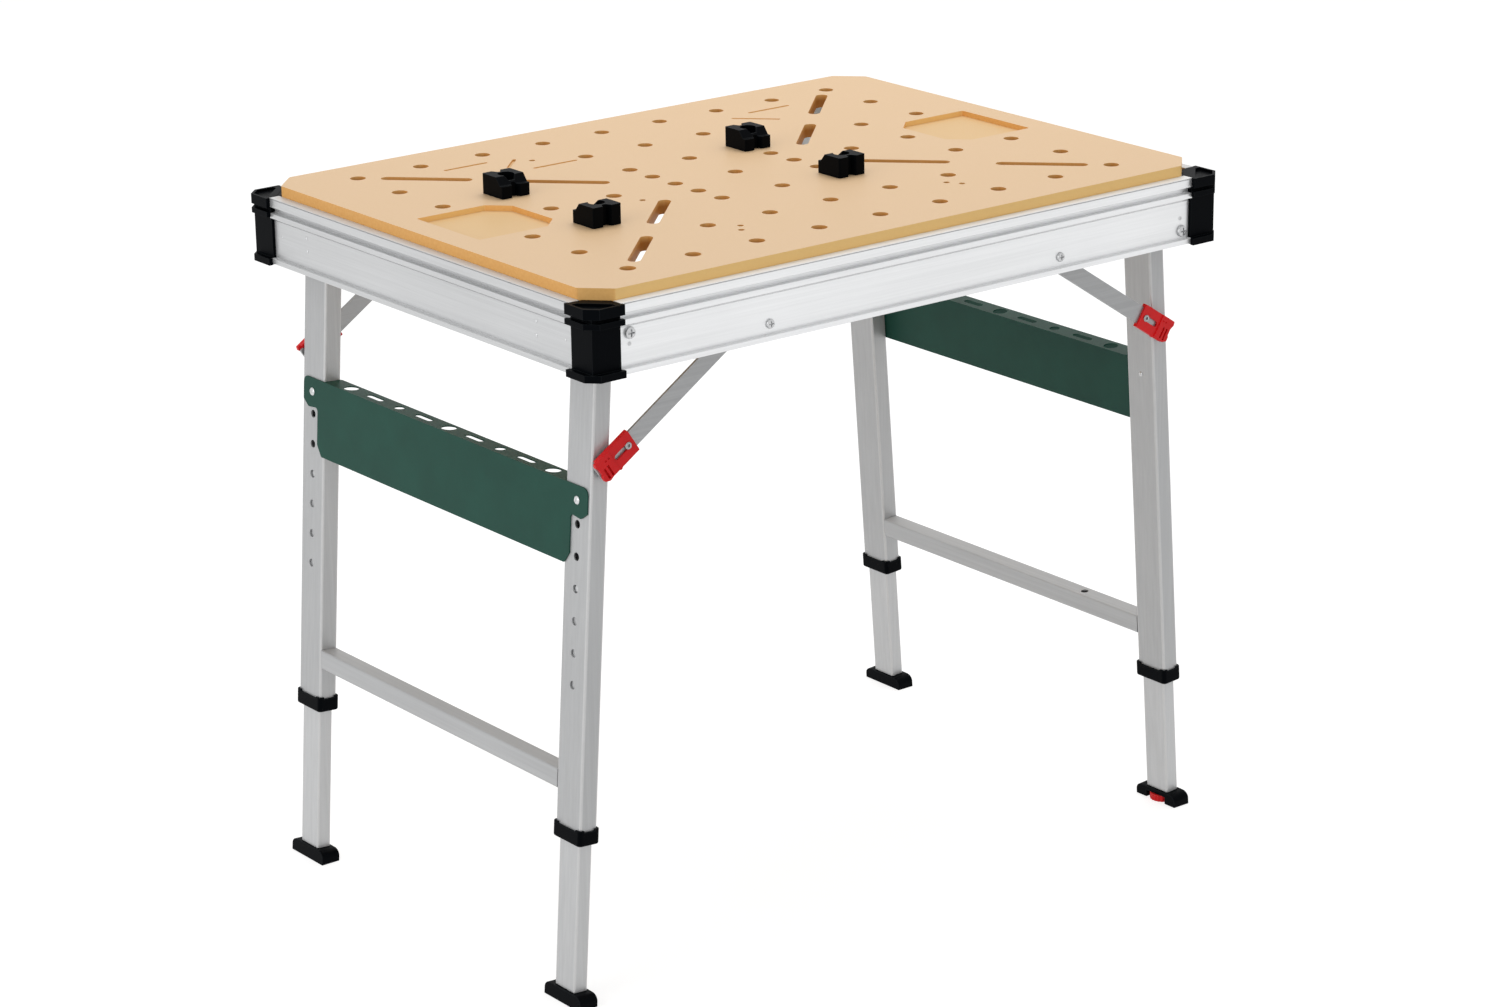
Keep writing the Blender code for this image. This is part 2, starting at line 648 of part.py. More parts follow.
def make_strut_bolt(name, sx, sy):
    """The bolt that a strut turns on."""
    profile = [
        (STRUT_SPACER_RADIUS, STRUT_INNER_Y - GAP - STRUT_INNER_HEAD),
        (STRUT_SPACER_RADIUS, STRUT_INNER_Y - GAP),
        (STRUT_BOLT_RADIUS, STRUT_INNER_Y - GAP),
        (STRUT_BOLT_RADIUS, STRUT_OUTER_Y + GAP),
        (STRUT_SPACER_RADIUS, STRUT_OUTER_Y + GAP),
        (STRUT_SPACER_RADIUS, RAIL_WEB_INNER_Y - GAP),
        (STRUT_BOLT_RADIUS, RAIL_WEB_INNER_Y - GAP),
        (STRUT_BOLT_RADIUS, RAIL_WEB_OUTER_Y + GAP),
        (STRUT_HEAD_RADIUS, RAIL_WEB_OUTER_Y + GAP),
        (STRUT_HEAD_RADIUS, RAIL_WEB_OUTER_Y + GAP + STRUT_HEAD),
    ]
    mesh = turned([(radius, sy * y) for radius, y in profile], SMALL_SIDES, "Y")
    put(make("strut_bolt_" + name, mesh, BRIGHT_STEEL), (sx * STRUT_PIVOT_X, 0, STRUT_PIVOT_HEIGHT))


def make_dog(name, column, sy):
    """A bench dog: a peg, a groove in two sides for round work, a bore and a sloped, notched back."""
    width, depth, height = DOG_SIZE
    x = width / 2
    y = depth / 2
    groove_half = DOG_SIDE_GROOVE[0] / 2
    groove_end = y - DOG_SIDE_GROOVE[1]
    half = [(-x, -y), (-groove_half, -y), (0, -groove_end), (groove_half, -y), (x, -y)]
    dog = make(name, prism(half + [(-a, -b) for a, b in half], 0, height), BLACK_PLASTIC)
    above = height + GAP
    cut(dog, pin(DOG_BORE_RADIUS, DOG_BORE_FLOOR, above))
    top_half, low_half, notch_depth = (DOG_TOP_NOTCH[0] / 2, DOG_TOP_NOTCH[1] / 2, DOG_TOP_NOTCH[2])
    notch_floor = height - notch_depth
    notch = [(-top_half, height), (-low_half, notch_floor), (low_half, notch_floor), (top_half, height),
             (0, height + y)]
    cut(dog, prism(notch, 0, depth, "Y"))
    ledge = y - DOG_LEDGE[0]
    slope = [(depth, DOG_LEDGE[1]), (ledge, DOG_LEDGE[1]), (ledge - DOG_SLANT, height), (ledge - DOG_SLANT, above),
             (depth, above)]
    cut(dog, prism(slope, -width, width, "X"))
    peg = BOARD_THICKNESS + GAP - DOG_PEG_SHORT
    join(dog, pin(DOG_PEG_RADIUS, -peg, DOG_PEG_SHORT))
    turn = math.pi if sy > 0 else 0.0
    put(dog, (column * HOLE_PITCH, sy * DOG_ROW * HOLE_PITCH, BOARD_TOP + GAP), turn=(0.0, 0.0, turn))


def make_upper_leg(name, side, sy, fold):
    """A leg's outer tube, drilled for its hinge, the strut's hook bolt and the height button."""
    sign = SIDES[side]
    width, depth = UPPER_LEG
    mesh = tube(width, depth, LEG_CORNER, UPPER_WALL, down_leg(side, UPPER_LEG_BOTTOM[side]), LEG_HEAD)
    leg = make("upper_leg_" + name, mesh, SATIN_ALUMINIUM)
    tools = [pin(HINGE_BOLT_RADIUS + GAP, -depth, depth, "Y", sides=SMALL_SIDES)]
    low, high = sorted((sy * (depth / 2 - 2 * UPPER_WALL), sy * depth))
    hook = down_leg(side, hook_place()[1])
    tools.append(pin(HOOK_RADIUS + GAP, low, high, "Y", (0, 0, hook), SMALL_SIDES))
    low, high = sorted((sign * (width / 2 - 2 * UPPER_WALL), sign * width))
    for step in range(-HOLES_BELOW, HOLES_ABOVE + 1):
        spot = down_leg(side, BUTTON_HEIGHT[side]) + step * HEIGHT_HOLE_PITCH
        tools.append(pin(HEIGHT_HOLE_RADIUS, low, high, "X", (0, 0, spot), SMALL_SIDES))
    cut(leg, merged(tools))
    put(leg, (0, sy * LEG_Y, 0), parent=fold)


def make_collar(name, side, sy, fold):
    """The plastic guide at the lower end of an upper leg. Its lip closes on the inner leg."""
    width, depth = UPPER_LEG
    grow = 2 * COLLAR_PROUD
    bore = 2 * GAP
    outer = rounded_rectangle(width + grow, depth + grow, LEG_CORNER + COLLAR_PROUD)
    seat = rounded_rectangle(width + bore, depth + bore, LEG_CORNER)
    guide = rounded_rectangle(INNER_LEG[0] + bore, INNER_LEG[1] + bore, LEG_CORNER)
    bottom = down_leg(side, COLLAR_BOTTOM[side])
    top = bottom + COLLAR_HEIGHT
    lip = down_leg(side, UPPER_LEG_BOTTOM[side]) - GAP
    mesh = loft([(outer, bottom), (outer, top), (seat, top), (seat, lip), (guide, lip), (guide, bottom)])
    put(make("leg_collar_" + name, mesh, BLACK_PLASTIC), (0, sy * LEG_Y, 0), parent=fold)


def make_crossbar(side, fold):
    """The square tube between a pair of legs."""
    half = LEG_INNER_Y - GAP
    mesh = tube(CROSSBAR, CROSSBAR, LEG_CORNER, CROSSBAR_WALL, -half, half)
    mesh.transform(Matrix.Rotation(math.radians(90), 4, "X"))
    put(make("crossbar_" + side, mesh, SATIN_ALUMINIUM), (0, 0, down_leg(side, CROSSBAR_HEIGHT[side])), parent=fold)


def panel_hole_tools(centre_x, low, high):
    """Cutters for the tool holes in a panel's shelf: round, slotted and small holes in turn."""
    kinds = ["round", "slot", "small", "slot", "round", "slot", "small", "slot", "round"]
    middle = (len(kinds) - 1) / 2
    tools = []
    for i, kind in enumerate(kinds):
        y = (middle - i) * PANEL_HOLE_PITCH
        if kind == "slot":
            outline = slot_outline((centre_x, y), 90, PANEL_SLOT[1], PANEL_SLOT[0])
            tools.append(prism(outline, low, high))
        else:
            radius = PANEL_ROUND_RADIUS if kind == "round" else PANEL_SMALL_RADIUS
            tools.append(pin(radius, low, high, at=(centre_x, y, 0), sides=ROUND_SIDES))
    return tools


def make_tool_panel(side, fold):
    """The green sheet across a pair of legs: a face riveted to them and a shelf with tool holes."""
    sign = SIDES[side]
    seat = UPPER_LEG[0] / 2 + GAP
    top = down_leg(side, PANEL_TOP[side])
    bottom = top - PANEL_HEIGHT
    body = LEG_INNER_Y + PANEL_OVER_LEG
    ear = LEG_SIDE_Y - PANEL_EAR_INSET
    round_ear = arc((ear - PANEL_CORNER[0], top - PANEL_EAR_HEIGHT + PANEL_CORNER[0]),
                    (PANEL_CORNER[0], PANEL_CORNER[0]), -90, 0, 3)
    half = [(body - PANEL_CORNER[0], bottom), (body, bottom + PANEL_CORNER[1])]
    half += [(body, top - PANEL_EAR_HEIGHT), *round_ear, (ear, top)]
    outline = half + [(-y, z) for y, z in half[::-1]]
    low, high = sorted((sign * seat, sign * (seat + PANEL_SHEET)))
    panel = make("tool_panel_" + side, prism(outline, low, high, "X"), GREEN_PAINT)
    shelf_end = seat - PANEL_SHELF
    x = sorted((sign * shelf_end, sign * (seat + PANEL_SHEET / 2)))
    reach = LEG_INNER_Y - 2 * GAP
    join(panel, block(x, (-reach, reach), (top - PANEL_SHEET, top)))
    centre = sign * (shelf_end + PANEL_SHELF / 2)
    cut(panel, merged(panel_hole_tools(centre, top - PANEL_SHELF, top + PANEL_SHELF)))
    put(panel, parent=fold)


def make_hook_bolt(name, side, sy, fold):
    """The shouldered stud in the leg's side that the strut hooks over."""
    wall_inner = LEG_SIDE_Y - UPPER_WALL
    profile = [
        (HOOK_WASHER_RADIUS, wall_inner - GAP - HOOK_NUT),
        (HOOK_WASHER_RADIUS, wall_inner - GAP),
        (HOOK_RADIUS, wall_inner - GAP),
        (HOOK_RADIUS, LEG_SIDE_Y + GAP),
        (HOOK_WASHER_RADIUS, LEG_SIDE_Y + GAP),
        (HOOK_WASHER_RADIUS, LEG_SIDE_Y + GAP + HOOK_WASHER),
        (HOOK_RADIUS, LEG_SIDE_Y + GAP + HOOK_WASHER),
        (HOOK_RADIUS, STRUT_OUTER_Y),
    ]
    mesh = turned([(radius, sy * y) for radius, y in profile], SMALL_SIDES, "Y")
    put(make("hook_bolt_" + name, mesh, BRIGHT_STEEL), (0, 0, down_leg(side, hook_place()[1])), parent=fold)


def make_inner_leg(name, side, sy, slide):
    """The sliding inner tube, with the hole that its height button comes through."""
    sign = SIDES[side]
    width, depth = INNER_LEG
    low = foot_top(side) + GAP
    high = down_leg(side, INNER_LEG_TOP[side])
    leg = make("inner_leg_" + name, tube(width, depth, LEG_CORNER, INNER_WALL, low, high), SATIN_ALUMINIUM)
    start, end = sorted((sign * (width / 2 - 2 * INNER_WALL), sign * width))
    spot = (0, 0, down_leg(side, BUTTON_HEIGHT[side]))
    cut(leg, pin(BUTTON_RADIUS + GAP, start, end, "X", spot, SMALL_SIDES))
    put(leg, parent=slide)


def make_button(name, side, slide):
    """The sprung steel button that locks the leg's height. Its head stops just inside the upper leg."""
    sign = SIDES[side]
    face = UPPER_LEG[0] / 2 - UPPER_WALL - GAP
    wall_inner = INNER_LEG[0] / 2 - INNER_WALL
    profile = [
        (BUTTON_FLANGE_RADIUS, wall_inner - GAP - BUTTON_FLANGE),
        (BUTTON_FLANGE_RADIUS, wall_inner - GAP),
        (BUTTON_RADIUS, wall_inner - GAP),
        (BUTTON_RADIUS, face),
    ]
    mesh = turned([(radius, sign * x) for radius, x in profile], SMALL_SIDES, "X")
    put(make("height_button_" + name, mesh, BRIGHT_STEEL), (0, 0, down_leg(side, BUTTON_HEIGHT[side])), parent=slide)


def foot_top(side):
    """The foot's top face, square to the leg."""
    return down_leg(side, FOOT_HEIGHT)


def make_foot(name, side, slide, has_wheel):
    """A black foot: a level underside, round shoulders and a plug in the inner leg."""
    top = foot_top(side)
    half = FOOT_WIDTH / 2
    run, rise = FOOT_SHOULDER
    below = down_leg(side, 0) - FOOT_THICKNESS / 2
    right_half = [(half, below), *arc((half - run, top - rise), (run, rise), 0, 90, 4)]
    outline = right_half + [(-y, z) for y, z in right_half[::-1]]
    foot = make("foot_" + name, prism(outline, -FOOT_THICKNESS / 2, FOOT_THICKNESS / 2, "X"), BLACK_PLASTIC)
    plug_x = INNER_LEG[0] / 2 - INNER_WALL - GAP
    plug_y = INNER_LEG[1] / 2 - INNER_WALL - GAP
    corner = LEG_CORNER - INNER_WALL
    plug = prism(rounded_rectangle(2 * plug_x, 2 * plug_y, corner), top - FOOT_SHOULDER[1] / 2, top + FOOT_PLUG)
    join(foot, plug)
    turn = Matrix.Rotation(-splay_turn(side), 4, "Y")
    under = block((-half, half), (-FOOT_WIDTH, FOOT_WIDTH), (-FOOT_WIDTH, 0))
    under.transform(Matrix.Translation((0, 0, down_leg(side, 0))) @ turn)
    cut(foot, under)
    if has_wheel:
        cut_wheel_recess(foot, side)
    put(foot, parent=slide)


def splay_turn(side):
    """The leg's lean as a turn about Y."""
    return -SIDES[side] * SPLAY


def wheel_place(side):
    """The levelling wheel's place in the leg's frame. Its axis is upright while the bench stands."""
    centre = Vector((0, 0, down_leg(side, WHEEL_OFF_FLOOR + WHEEL_THICKNESS / 2)))
    return Matrix.Translation(centre) @ Matrix.Rotation(-splay_turn(side), 4, "Y")


def cut_wheel_recess(foot, side):
    """Cuts the recess that the wheel turns in, through both faces of the foot, and the hole for its stud."""
    reach = WHEEL_RADIUS + 2 * GAP
    top = WHEEL_THICKNESS / 2 + GAP
    recess = block((-FOOT_THICKNESS, FOOT_THICKNESS), (-reach, reach), (-FOOT_HEIGHT, top))
    hole = pin(WHEEL_STUD_RADIUS + GAP, 0, top + WHEEL_STUD, sides=SMALL_SIDES)
    for tool in (recess, hole):
        tool.transform(wheel_place(side))
        cut(foot, tool)


def make_levelling_wheel(side, slide):
    """The red wheel under a foot: a notched rim, and a stud that turns in the foot."""
    outline = []
    for i in range(2 * WHEEL_NOTCHES):
        angle = math.pi * i / WHEEL_NOTCHES
        radius = WHEEL_RADIUS - (WHEEL_NOTCH if i % 2 else 0.0)
        outline.append((radius * math.cos(angle), radius * math.sin(angle)))
    half = WHEEL_THICKNESS / 2
    wheel = make("levelling_wheel", prism(outline, -half, half), RED_PLASTIC)
    join(wheel, pin(WHEEL_STUD_RADIUS, 0, half + WHEEL_STUD, sides=SMALL_SIDES))
    put(wheel, wheel_place(side).translation, -splay_turn(side), slide)


def make_strut(name, side, sy):
    """The flat bar from the frame to the leg. Its end is notched to hook over the leg's bolt."""
    sign = SIDES[side]
    hook = hook_place()[0]
    half = STRUT_WIDTH / 2
    notch = HOOK_RADIUS + GAP
    end = hook + STRUT_PAST_HOOK
    outline = arc((0, 0), (half, half), 90, 270, 8)
    outline += [(end, -half), (end, half), (hook + notch, half)]
    outline += arc((hook, 0), (notch, notch), 0, -180, 6)
    outline += [(hook - notch - HOOK_MOUTH, half)]
    low, high = sorted((sy * STRUT_INNER_Y, sy * STRUT_OUTER_Y))
    strut = make("strut_" + name, prism([(sign * u, w) for u, w in outline], low, high, "Y"), SATIN_ALUMINIUM)
    cut(strut, pin(STRUT_BOLT_RADIUS + GAP, low - GAP, high + GAP, "Y", sides=SMALL_SIDES))
    guide = [
        (GUIDE_RADIUS, STRUT_OUTER_Y - STRUT_THICKNESS / 2),
        (GUIDE_RADIUS, STRUT_OUTER_Y + LOCK_PLATE + 2 * GAP),
        (GUIDE_HEAD_RADIUS, STRUT_OUTER_Y + LOCK_PLATE + 2 * GAP),
        (GUIDE_HEAD_RADIUS, STRUT_OUTER_Y + LOCK_PLATE + 2 * GAP + GUIDE_HEAD),
    ]
    mesh = turned([(radius, sy * y) for radius, y in guide], SMALL_SIDES, "Y")
    mesh.transform(Matrix.Translation((sign * (hook - GUIDE_FROM_HOOK), 0, 0)))
    join(strut, mesh)
    return put(strut, (sign * STRUT_PIVOT_X, 0, STRUT_PIVOT_HEIGHT), sign * STRUT_ANGLE)


def make_lock(name, side, sy, strut):
    """The red slider that covers the hook: a plate, a long lower flange and a short upper one."""
    sign = SIDES[side]
    hook = hook_place()[0]
    end = hook + LOCK_PAST_HOOK
    start = end - LOCK_LENGTH
    half = LOCK_WIDTH / 2
    inside = STRUT_WIDTH / 2 + GAP
    plate_in = STRUT_OUTER_Y + GAP
    plate_out = plate_in + LOCK_PLATE
    skirt = STRUT_INNER_Y
    overlap = LOCK_PLATE / 2

    def bar(u, w, y):
        return block(sorted((sign * u[0], sign * u[1])), sorted((sy * y[0], sy * y[1])), w)

    lock = make("lock_" + name, bar((start, end), (-half, half), (plate_in, plate_out)), RED_PLASTIC)
    join(lock, bar((start, end), (-half, -inside), (skirt, plate_in + overlap)))
    join(lock, bar((start, start + LOCK_UPPER_FLANGE), (inside, half), (skirt, plate_in + overlap)))
    guide = hook - GUIDE_FROM_HOOK
    radius = GUIDE_RADIUS + GAP
    slot = slot_outline((guide + LOCK_TRAVEL / 2, 0), 0, LOCK_TRAVEL + 2 * radius, 2 * radius)
    low, high = sorted((sy * STRUT_INNER_Y, sy * (plate_out + LOCK_PLATE)))
    cut(lock, prism([(sign * u, w) for u, w in slot], low, high, "Y"))
    put(lock, parent=strut)


def build():
    make_worktop()
    for end in ENDS:
        make_long_rail(end)
    for side in SIDES:
        make_end_rail(side)
    for name, sx, sy in CORNERS:
        side = name.split("_")[1]
        make_corner_cap(name, sx, sy)
        make_leg_bolt(name, side, sy)
        make_strut_bolt(name, sx, sy)
    for side, column in DOG_PLACES:
        for end, sy in ENDS.items():
            make_dog("bench_dog_" + end + "_" + side, column, sy)
    folds = {}
    for side, sign in SIDES.items():
        place = (sign * hinge_x(side), 0, HINGE_HEIGHT[side])
        folds[side] = joint(side + "_leg_fold", place, splay_turn(side))
        make_crossbar(side, folds[side])
        make_tool_panel(side, folds[side])
    for name, sx, sy in CORNERS:
        side = name.split("_")[1]
        make_upper_leg(name, side, sy, folds[side])
        make_collar(name, side, sy, folds[side])
        make_hook_bolt(name, side, sy, folds[side])
        slide = joint("leg_slide_" + name, (0, sy * LEG_Y, 0), parent=folds[side])
        make_inner_leg(name, side, sy, slide)
        make_button(name, side, slide)
        has_wheel = name == "front_right"
        make_foot(name, side, slide, has_wheel)
        if has_wheel:
            make_levelling_wheel(side, slide)
        strut = make_strut(name, side, sy)
        make_lock(name, side, sy, strut)


for old in list(bpy.data.objects):
    bpy.data.objects.remove(old, do_unlink=True)

TAN_BOARD = material("tan_board", TAN, 0.6)
SATIN_ALUMINIUM = material("satin_aluminium", ALUMINIUM, 0.35, 0.9)
BRIGHT_STEEL = material("bright_steel", STEEL, 0.3, 1.0)
GREEN_PAINT = material("green_paint", GREEN, 0.4)
BLACK_PLASTIC = material("black_plastic", BLACK, 0.5)
RED_PLASTIC = material("red_plastic", RED, 0.4)
build()
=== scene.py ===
# %% [markdown]
# # A folding workbench, dressed for the studio
# The imported model is the fixed frame: every node has its place in its mesh, in metres, and nothing of it is
# moved.

# %% Load the frame
import math

import bmesh
import bpy
from mathutils import Matrix, Vector


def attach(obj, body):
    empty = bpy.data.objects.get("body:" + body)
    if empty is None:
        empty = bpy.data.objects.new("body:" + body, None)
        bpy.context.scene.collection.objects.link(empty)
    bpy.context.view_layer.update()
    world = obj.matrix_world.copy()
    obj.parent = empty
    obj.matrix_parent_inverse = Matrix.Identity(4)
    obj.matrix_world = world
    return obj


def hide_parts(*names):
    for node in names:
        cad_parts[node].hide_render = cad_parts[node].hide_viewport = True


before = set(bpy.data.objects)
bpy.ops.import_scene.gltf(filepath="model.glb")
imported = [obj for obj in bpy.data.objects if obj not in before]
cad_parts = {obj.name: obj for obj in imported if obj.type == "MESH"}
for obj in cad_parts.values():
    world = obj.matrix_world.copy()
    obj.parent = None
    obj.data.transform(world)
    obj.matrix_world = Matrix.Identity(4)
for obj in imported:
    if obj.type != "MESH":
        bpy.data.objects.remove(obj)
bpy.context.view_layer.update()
MM = 0.001

# %% [markdown]
# ## The camera
# A camera is found from the photograph's straight edges: where the long and the short edges of the board
# meet in two vanishing points, they give the lens and the way it looks. Yaw, pitch and roll are easier to
# read than a matrix, so the three axes are built from them, and only then put into the camera's matrix.

# %% Camera
CAMERA_PLACE = Vector((-3.092, -3.989, 2.1446))
CAMERA_YAW = math.radians(38.001)      # from +Y towards +X
CAMERA_PITCH = math.radians(18.492)    # downwards
CAMERA_ROLL = math.radians(0.769)
PHOTO_WIDTH = 1510
FOCAL_PIXELS = 4066.36
SENSOR_WIDTH = 36.0

look = Vector((math.sin(CAMERA_YAW) * math.cos(CAMERA_PITCH), math.cos(CAMERA_YAW) * math.cos(CAMERA_PITCH),
               -math.sin(CAMERA_PITCH)))
level = Vector((math.cos(CAMERA_YAW), -math.sin(CAMERA_YAW), 0.0))
down = look.cross(level)
right = math.cos(CAMERA_ROLL) * level + math.sin(CAMERA_ROLL) * down
down = -math.sin(CAMERA_ROLL) * level + math.cos(CAMERA_ROLL) * down
camera = bpy.data.objects.new("camera", bpy.data.cameras.new("camera"))
bpy.context.scene.collection.objects.link(camera)
camera.data.sensor_width = SENSOR_WIDTH
camera.data.lens = FOCAL_PIXELS * SENSOR_WIDTH / PHOTO_WIDTH
camera.matrix_world = Matrix.Translation(CAMERA_PLACE) @ Matrix((right, -down, -look)).transposed().to_4x4()
bpy.context.scene.camera = camera
print("lens:", round(camera.data.lens, 2), "mm")

# %% [markdown]
# ## Node helpers
# Shader trees and Geometry Nodes trees are both lists of nodes and links. One helper that adds a node, sets
# its properties and fills or links its inputs keeps each tree as short to read as the real recipe behind
# it.

# %% Helpers for node trees
FLOAT, VECTOR, INTEGER = "NodeSocketFloat", "NodeSocketVector", "NodeSocketInt"
GEOMETRY, OBJECT, MATERIAL = "NodeSocketGeometry", "NodeSocketObject", "NodeSocketMaterial"


def add(tree, kind, inputs=None, **settings):
    """Adds a node. An input is given by name or number, as a value or as the socket that feeds it."""
    made = tree.nodes.new(kind)
    for key, value in settings.items():
        setattr(made, key, value)
    for key, value in (inputs or {}).items():
        if isinstance(value, bpy.types.NodeSocket):
            tree.links.new(value, made.inputs[key])
        else:
            made.inputs[key].default_value = value
    return made


def output(tree, kind, inputs=None, wanted=0, **settings):
    """Adds a node and gives one of its outputs, the first unless another is wanted."""
    return add(tree, kind, inputs, **settings).outputs[wanted]


def new_group(name, kind, inputs, outputs):
    """A node group as its tree, the sockets that bring its inputs and the sockets that take its outputs."""
    tree = bpy.data.node_groups.new(name, kind)
    for way, titles in (("INPUT", inputs), ("OUTPUT", outputs)):
        for title, socket in titles.items():
            tree.interface.new_socket(title, in_out=way, socket_type=socket)
    return tree, tree.nodes.new("NodeGroupInput").outputs, tree.nodes.new("NodeGroupOutput").inputs


def ramp(tree, factor, stops):
    """A colour ramp with two (position, grey) stops."""
    made = add(tree, "ShaderNodeValToRGB", {"Fac": factor})
    for point, (position, shade) in zip(made.color_ramp.elements, stops):
        point.position = position
        point.color = (shade, shade, shade, 1.0)
    return made.outputs["Color"]


def mix(tree, factor, first, second, blend="MIX"):
    """Mixes two colours, each a socket or a colour."""
    values = {0: factor}
    for slot, value in ((6, first), (7, second)):
        values[slot] = (*value, 1.0) if isinstance(value, tuple) else value
    return output(tree, "ShaderNodeMix", values, 2, data_type="RGBA", blend_type=blend)


def maths(tree, operation, first, second=0.0):
    return output(tree, "ShaderNodeMath", {0: first, 1: second}, operation=operation)


def product(tree, first, *others):
    for other in others:
        first = maths(tree, "MULTIPLY", first, other)
    return first


def coordinates(tree, kind="Object"):
    return output(tree, "ShaderNodeTexCoord", wanted=kind)


def axes_of(tree, vector):
    return add(tree, "ShaderNodeSeparateXYZ", {"Vector": vector}).outputs


def noise(tree, place, scale, detail, roughness=0.5):
    values = {"Vector": place, "Scale": scale, "Detail": detail, "Roughness": roughness}
    return output(tree, "ShaderNodeTexNoise", values, "Fac")


def facing_up(tree, none, full):
    """A mask of what faces up. It grows between two heights of the normal."""
    return ramp(tree, axes_of(tree, coordinates(tree, "Normal"))["Z"], [(none, 0.0), (full, 1.0)])


# %% [markdown]
# ## Effects that several finishes share
# Real surfaces are never one number. Moulded plastic and paint have a fine bumpy skin, drawn metal has
# lines along its length, rounded edges are paler, partly from wear and partly as a painted highlight, and
# dust lies on what faces up. Each effect is one shader group that gives out a mask or a height, and every
# material below uses it with its own values.

# %% Shader groups
EDGE_MARK = "rounded_edge"


def build_skin_group():
    """Fine bumps over a slow, cloudy change of shade."""
    sizes, results = {"Grain Size": FLOAT, "Cloud Size": FLOAT}, {"Height": FLOAT, "Cloud": FLOAT}
    tree, sent, wanted = new_group("moulded skin", "ShaderNodeTree", sizes, results)
    place = coordinates(tree)
    layers = (("Grain Size", 3.0, 0.6, "Height"), ("Cloud Size", 4.0, 0.55, "Cloud"))
    for size, detail, roughness, result in layers:
        scale = maths(tree, "DIVIDE", 1.0, sent[size])
        tree.links.new(noise(tree, place, scale, detail, roughness), wanted[result])
    return tree


def build_drawn_group():
    """Fine lines along one axis, as on drawn metal. Stretch is how often they change per metre, by axis."""
    tree, sent, wanted = new_group("drawn lines", "ShaderNodeTree", {"Stretch": VECTOR},
                                   {"Lines": FLOAT, "Cloud": FLOAT})
    place = coordinates(tree)
    pulled = add(tree, "ShaderNodeVectorMath", {0: place, 1: sent["Stretch"]}, operation="MULTIPLY")
    tree.links.new(noise(tree, pulled.outputs[0], 1.0, 6.0, 0.7), wanted["Lines"])
    tree.links.new(noise(tree, place, 6.0, 2.0, 0.4), wanted["Cloud"])
    return tree


def build_wear_and_highlight_group():
    """Edge wear and a painted highlight, in broken patches. round_off() and mark_corner_highlights() mark the
    faces.
    """
    tree, sent, wanted = new_group("edge wear and painted highlight", "ShaderNodeTree", {"Patch Size": FLOAT}, {"Mask": FLOAT})
    edge = add(tree, "ShaderNodeAttribute", attribute_name=EDGE_MARK).outputs["Fac"]
    patches = noise(tree, coordinates(tree), maths(tree, "DIVIDE", 1.0, sent["Patch Size"]), 6.0, 0.7)
    tree.links.new(product(tree, edge, ramp(tree, patches, [(0.3, 0.6), (0.7, 0.9)])), wanted["Mask"])
    return tree


def build_dust_group():
    """A thin, uneven film on what faces up."""
    tree, sent, wanted = new_group("dust", "ShaderNodeTree", {"Amount": FLOAT}, {"Mask": FLOAT})
    uneven = ramp(tree, noise(tree, coordinates(tree), 26.0, 8.0, 0.7), [(0.4, 0.0), (0.75, 1.0)])
    tree.links.new(product(tree, facing_up(tree, 0.3, 0.95), uneven, sent["Amount"]), wanted["Mask"])
    return tree


SKIN, DRAWN, WEAR_AND_HIGHLIGHT, DUST = build_skin_group(), build_drawn_group(), build_wear_and_highlight_group(), build_dust_group()
print("shader groups:", [group.name for group in (SKIN, DRAWN, WEAR_AND_HIGHLIGHT, DUST)])

# %% [markdown]
# ## Finishes
# Colours are written as they look in the photograph, as 0 to 255 values, and turned into the linear numbers
# that the shader works with. That keeps the recipes readable next to a picture.

# %% Starting a material
def linear(red, green, blue):
    """A screen colour of 0 to 255 values as linear light."""
    def one(value):
        share = value / 255
        return share / 12.92 if share <= 0.04045 else ((share + 0.055) / 1.055) ** 2.4
    return one(red), one(green), one(blue)


def start_material(name):
    """A material with only its Principled shader, and the tree to build on."""
    made = bpy.data.materials.new(name)
    made.use_nodes = True
    return made, made.node_tree, made.node_tree.nodes["Principled BSDF"]


def use(tree, group, **inputs):
    """Places a shader group and sets its inputs. Underscores in the keywords stand for spaces."""
    made = add(tree, "ShaderNodeGroup", node_tree=group)
    for key, value in inputs.items():
        made.inputs[key.replace("_", " ")].default_value = value
    return made.outputs


def finish(tree, shader, colour, height, depth):
    """Links a material's colour, and its bumps of a depth in metres."""
    tree.links.new(colour, shader.inputs["Base Color"])
    made = add(tree, "ShaderNodeBump", {"Height": height, "Distance": depth, "Strength": 1.0})
    tree.links.new(made.outputs["Normal"], shader.inputs["Normal"])


def vary(tree, shader, name, mask, low, high):
    """Lets a plain number such as roughness follow a mask between two values."""
    made = add(tree, "ShaderNodeMapRange", {"Value": mask, "To Min": low, "To Max": high})
    tree.links.new(made.outputs["Result"], shader.inputs[name])


# %% [markdown]
# ### The board
# The board is beech-faced fibreboard: a pale, smooth face, and a warmer, darker core that shows wherever a
# cutter went through it. One material covers both, because the normal tells the faces from the cut walls.
# Tray floors face up as well, but they lie below the top, so their height tells them apart. The front edge
# is the palest, as a painted highlight, and painted shade makes the walls of holes and slots darker as they
# go down.

# %% Board material
BOARD_TOP = 903 * MM
BOARD_FACE = linear(224, 194, 167)
BOARD_FACE_PALE = linear(230, 202, 177)
BOARD_CORE = linear(240, 186, 110)
BOARD_CORE_DARK = linear(222, 160, 84)
BOARD_TRAY = linear(222, 184, 126)
BOARD_EDGE_PAINTED_HIGHLIGHT = linear(254, 214, 140)
BOARD_PAINTED_HOLE_SHADE = linear(184, 122, 52)
PAINTED_SHADE_DEPTH = 12 * MM
INSIDE_EDGES = (470 * MM, 342 * MM, 785 * MM)    # the outer edges lie beyond this x, y or x + y
TRAY_ZONE = (312 * MM, 72 * MM)                  # the trays lie beyond this x, within this y


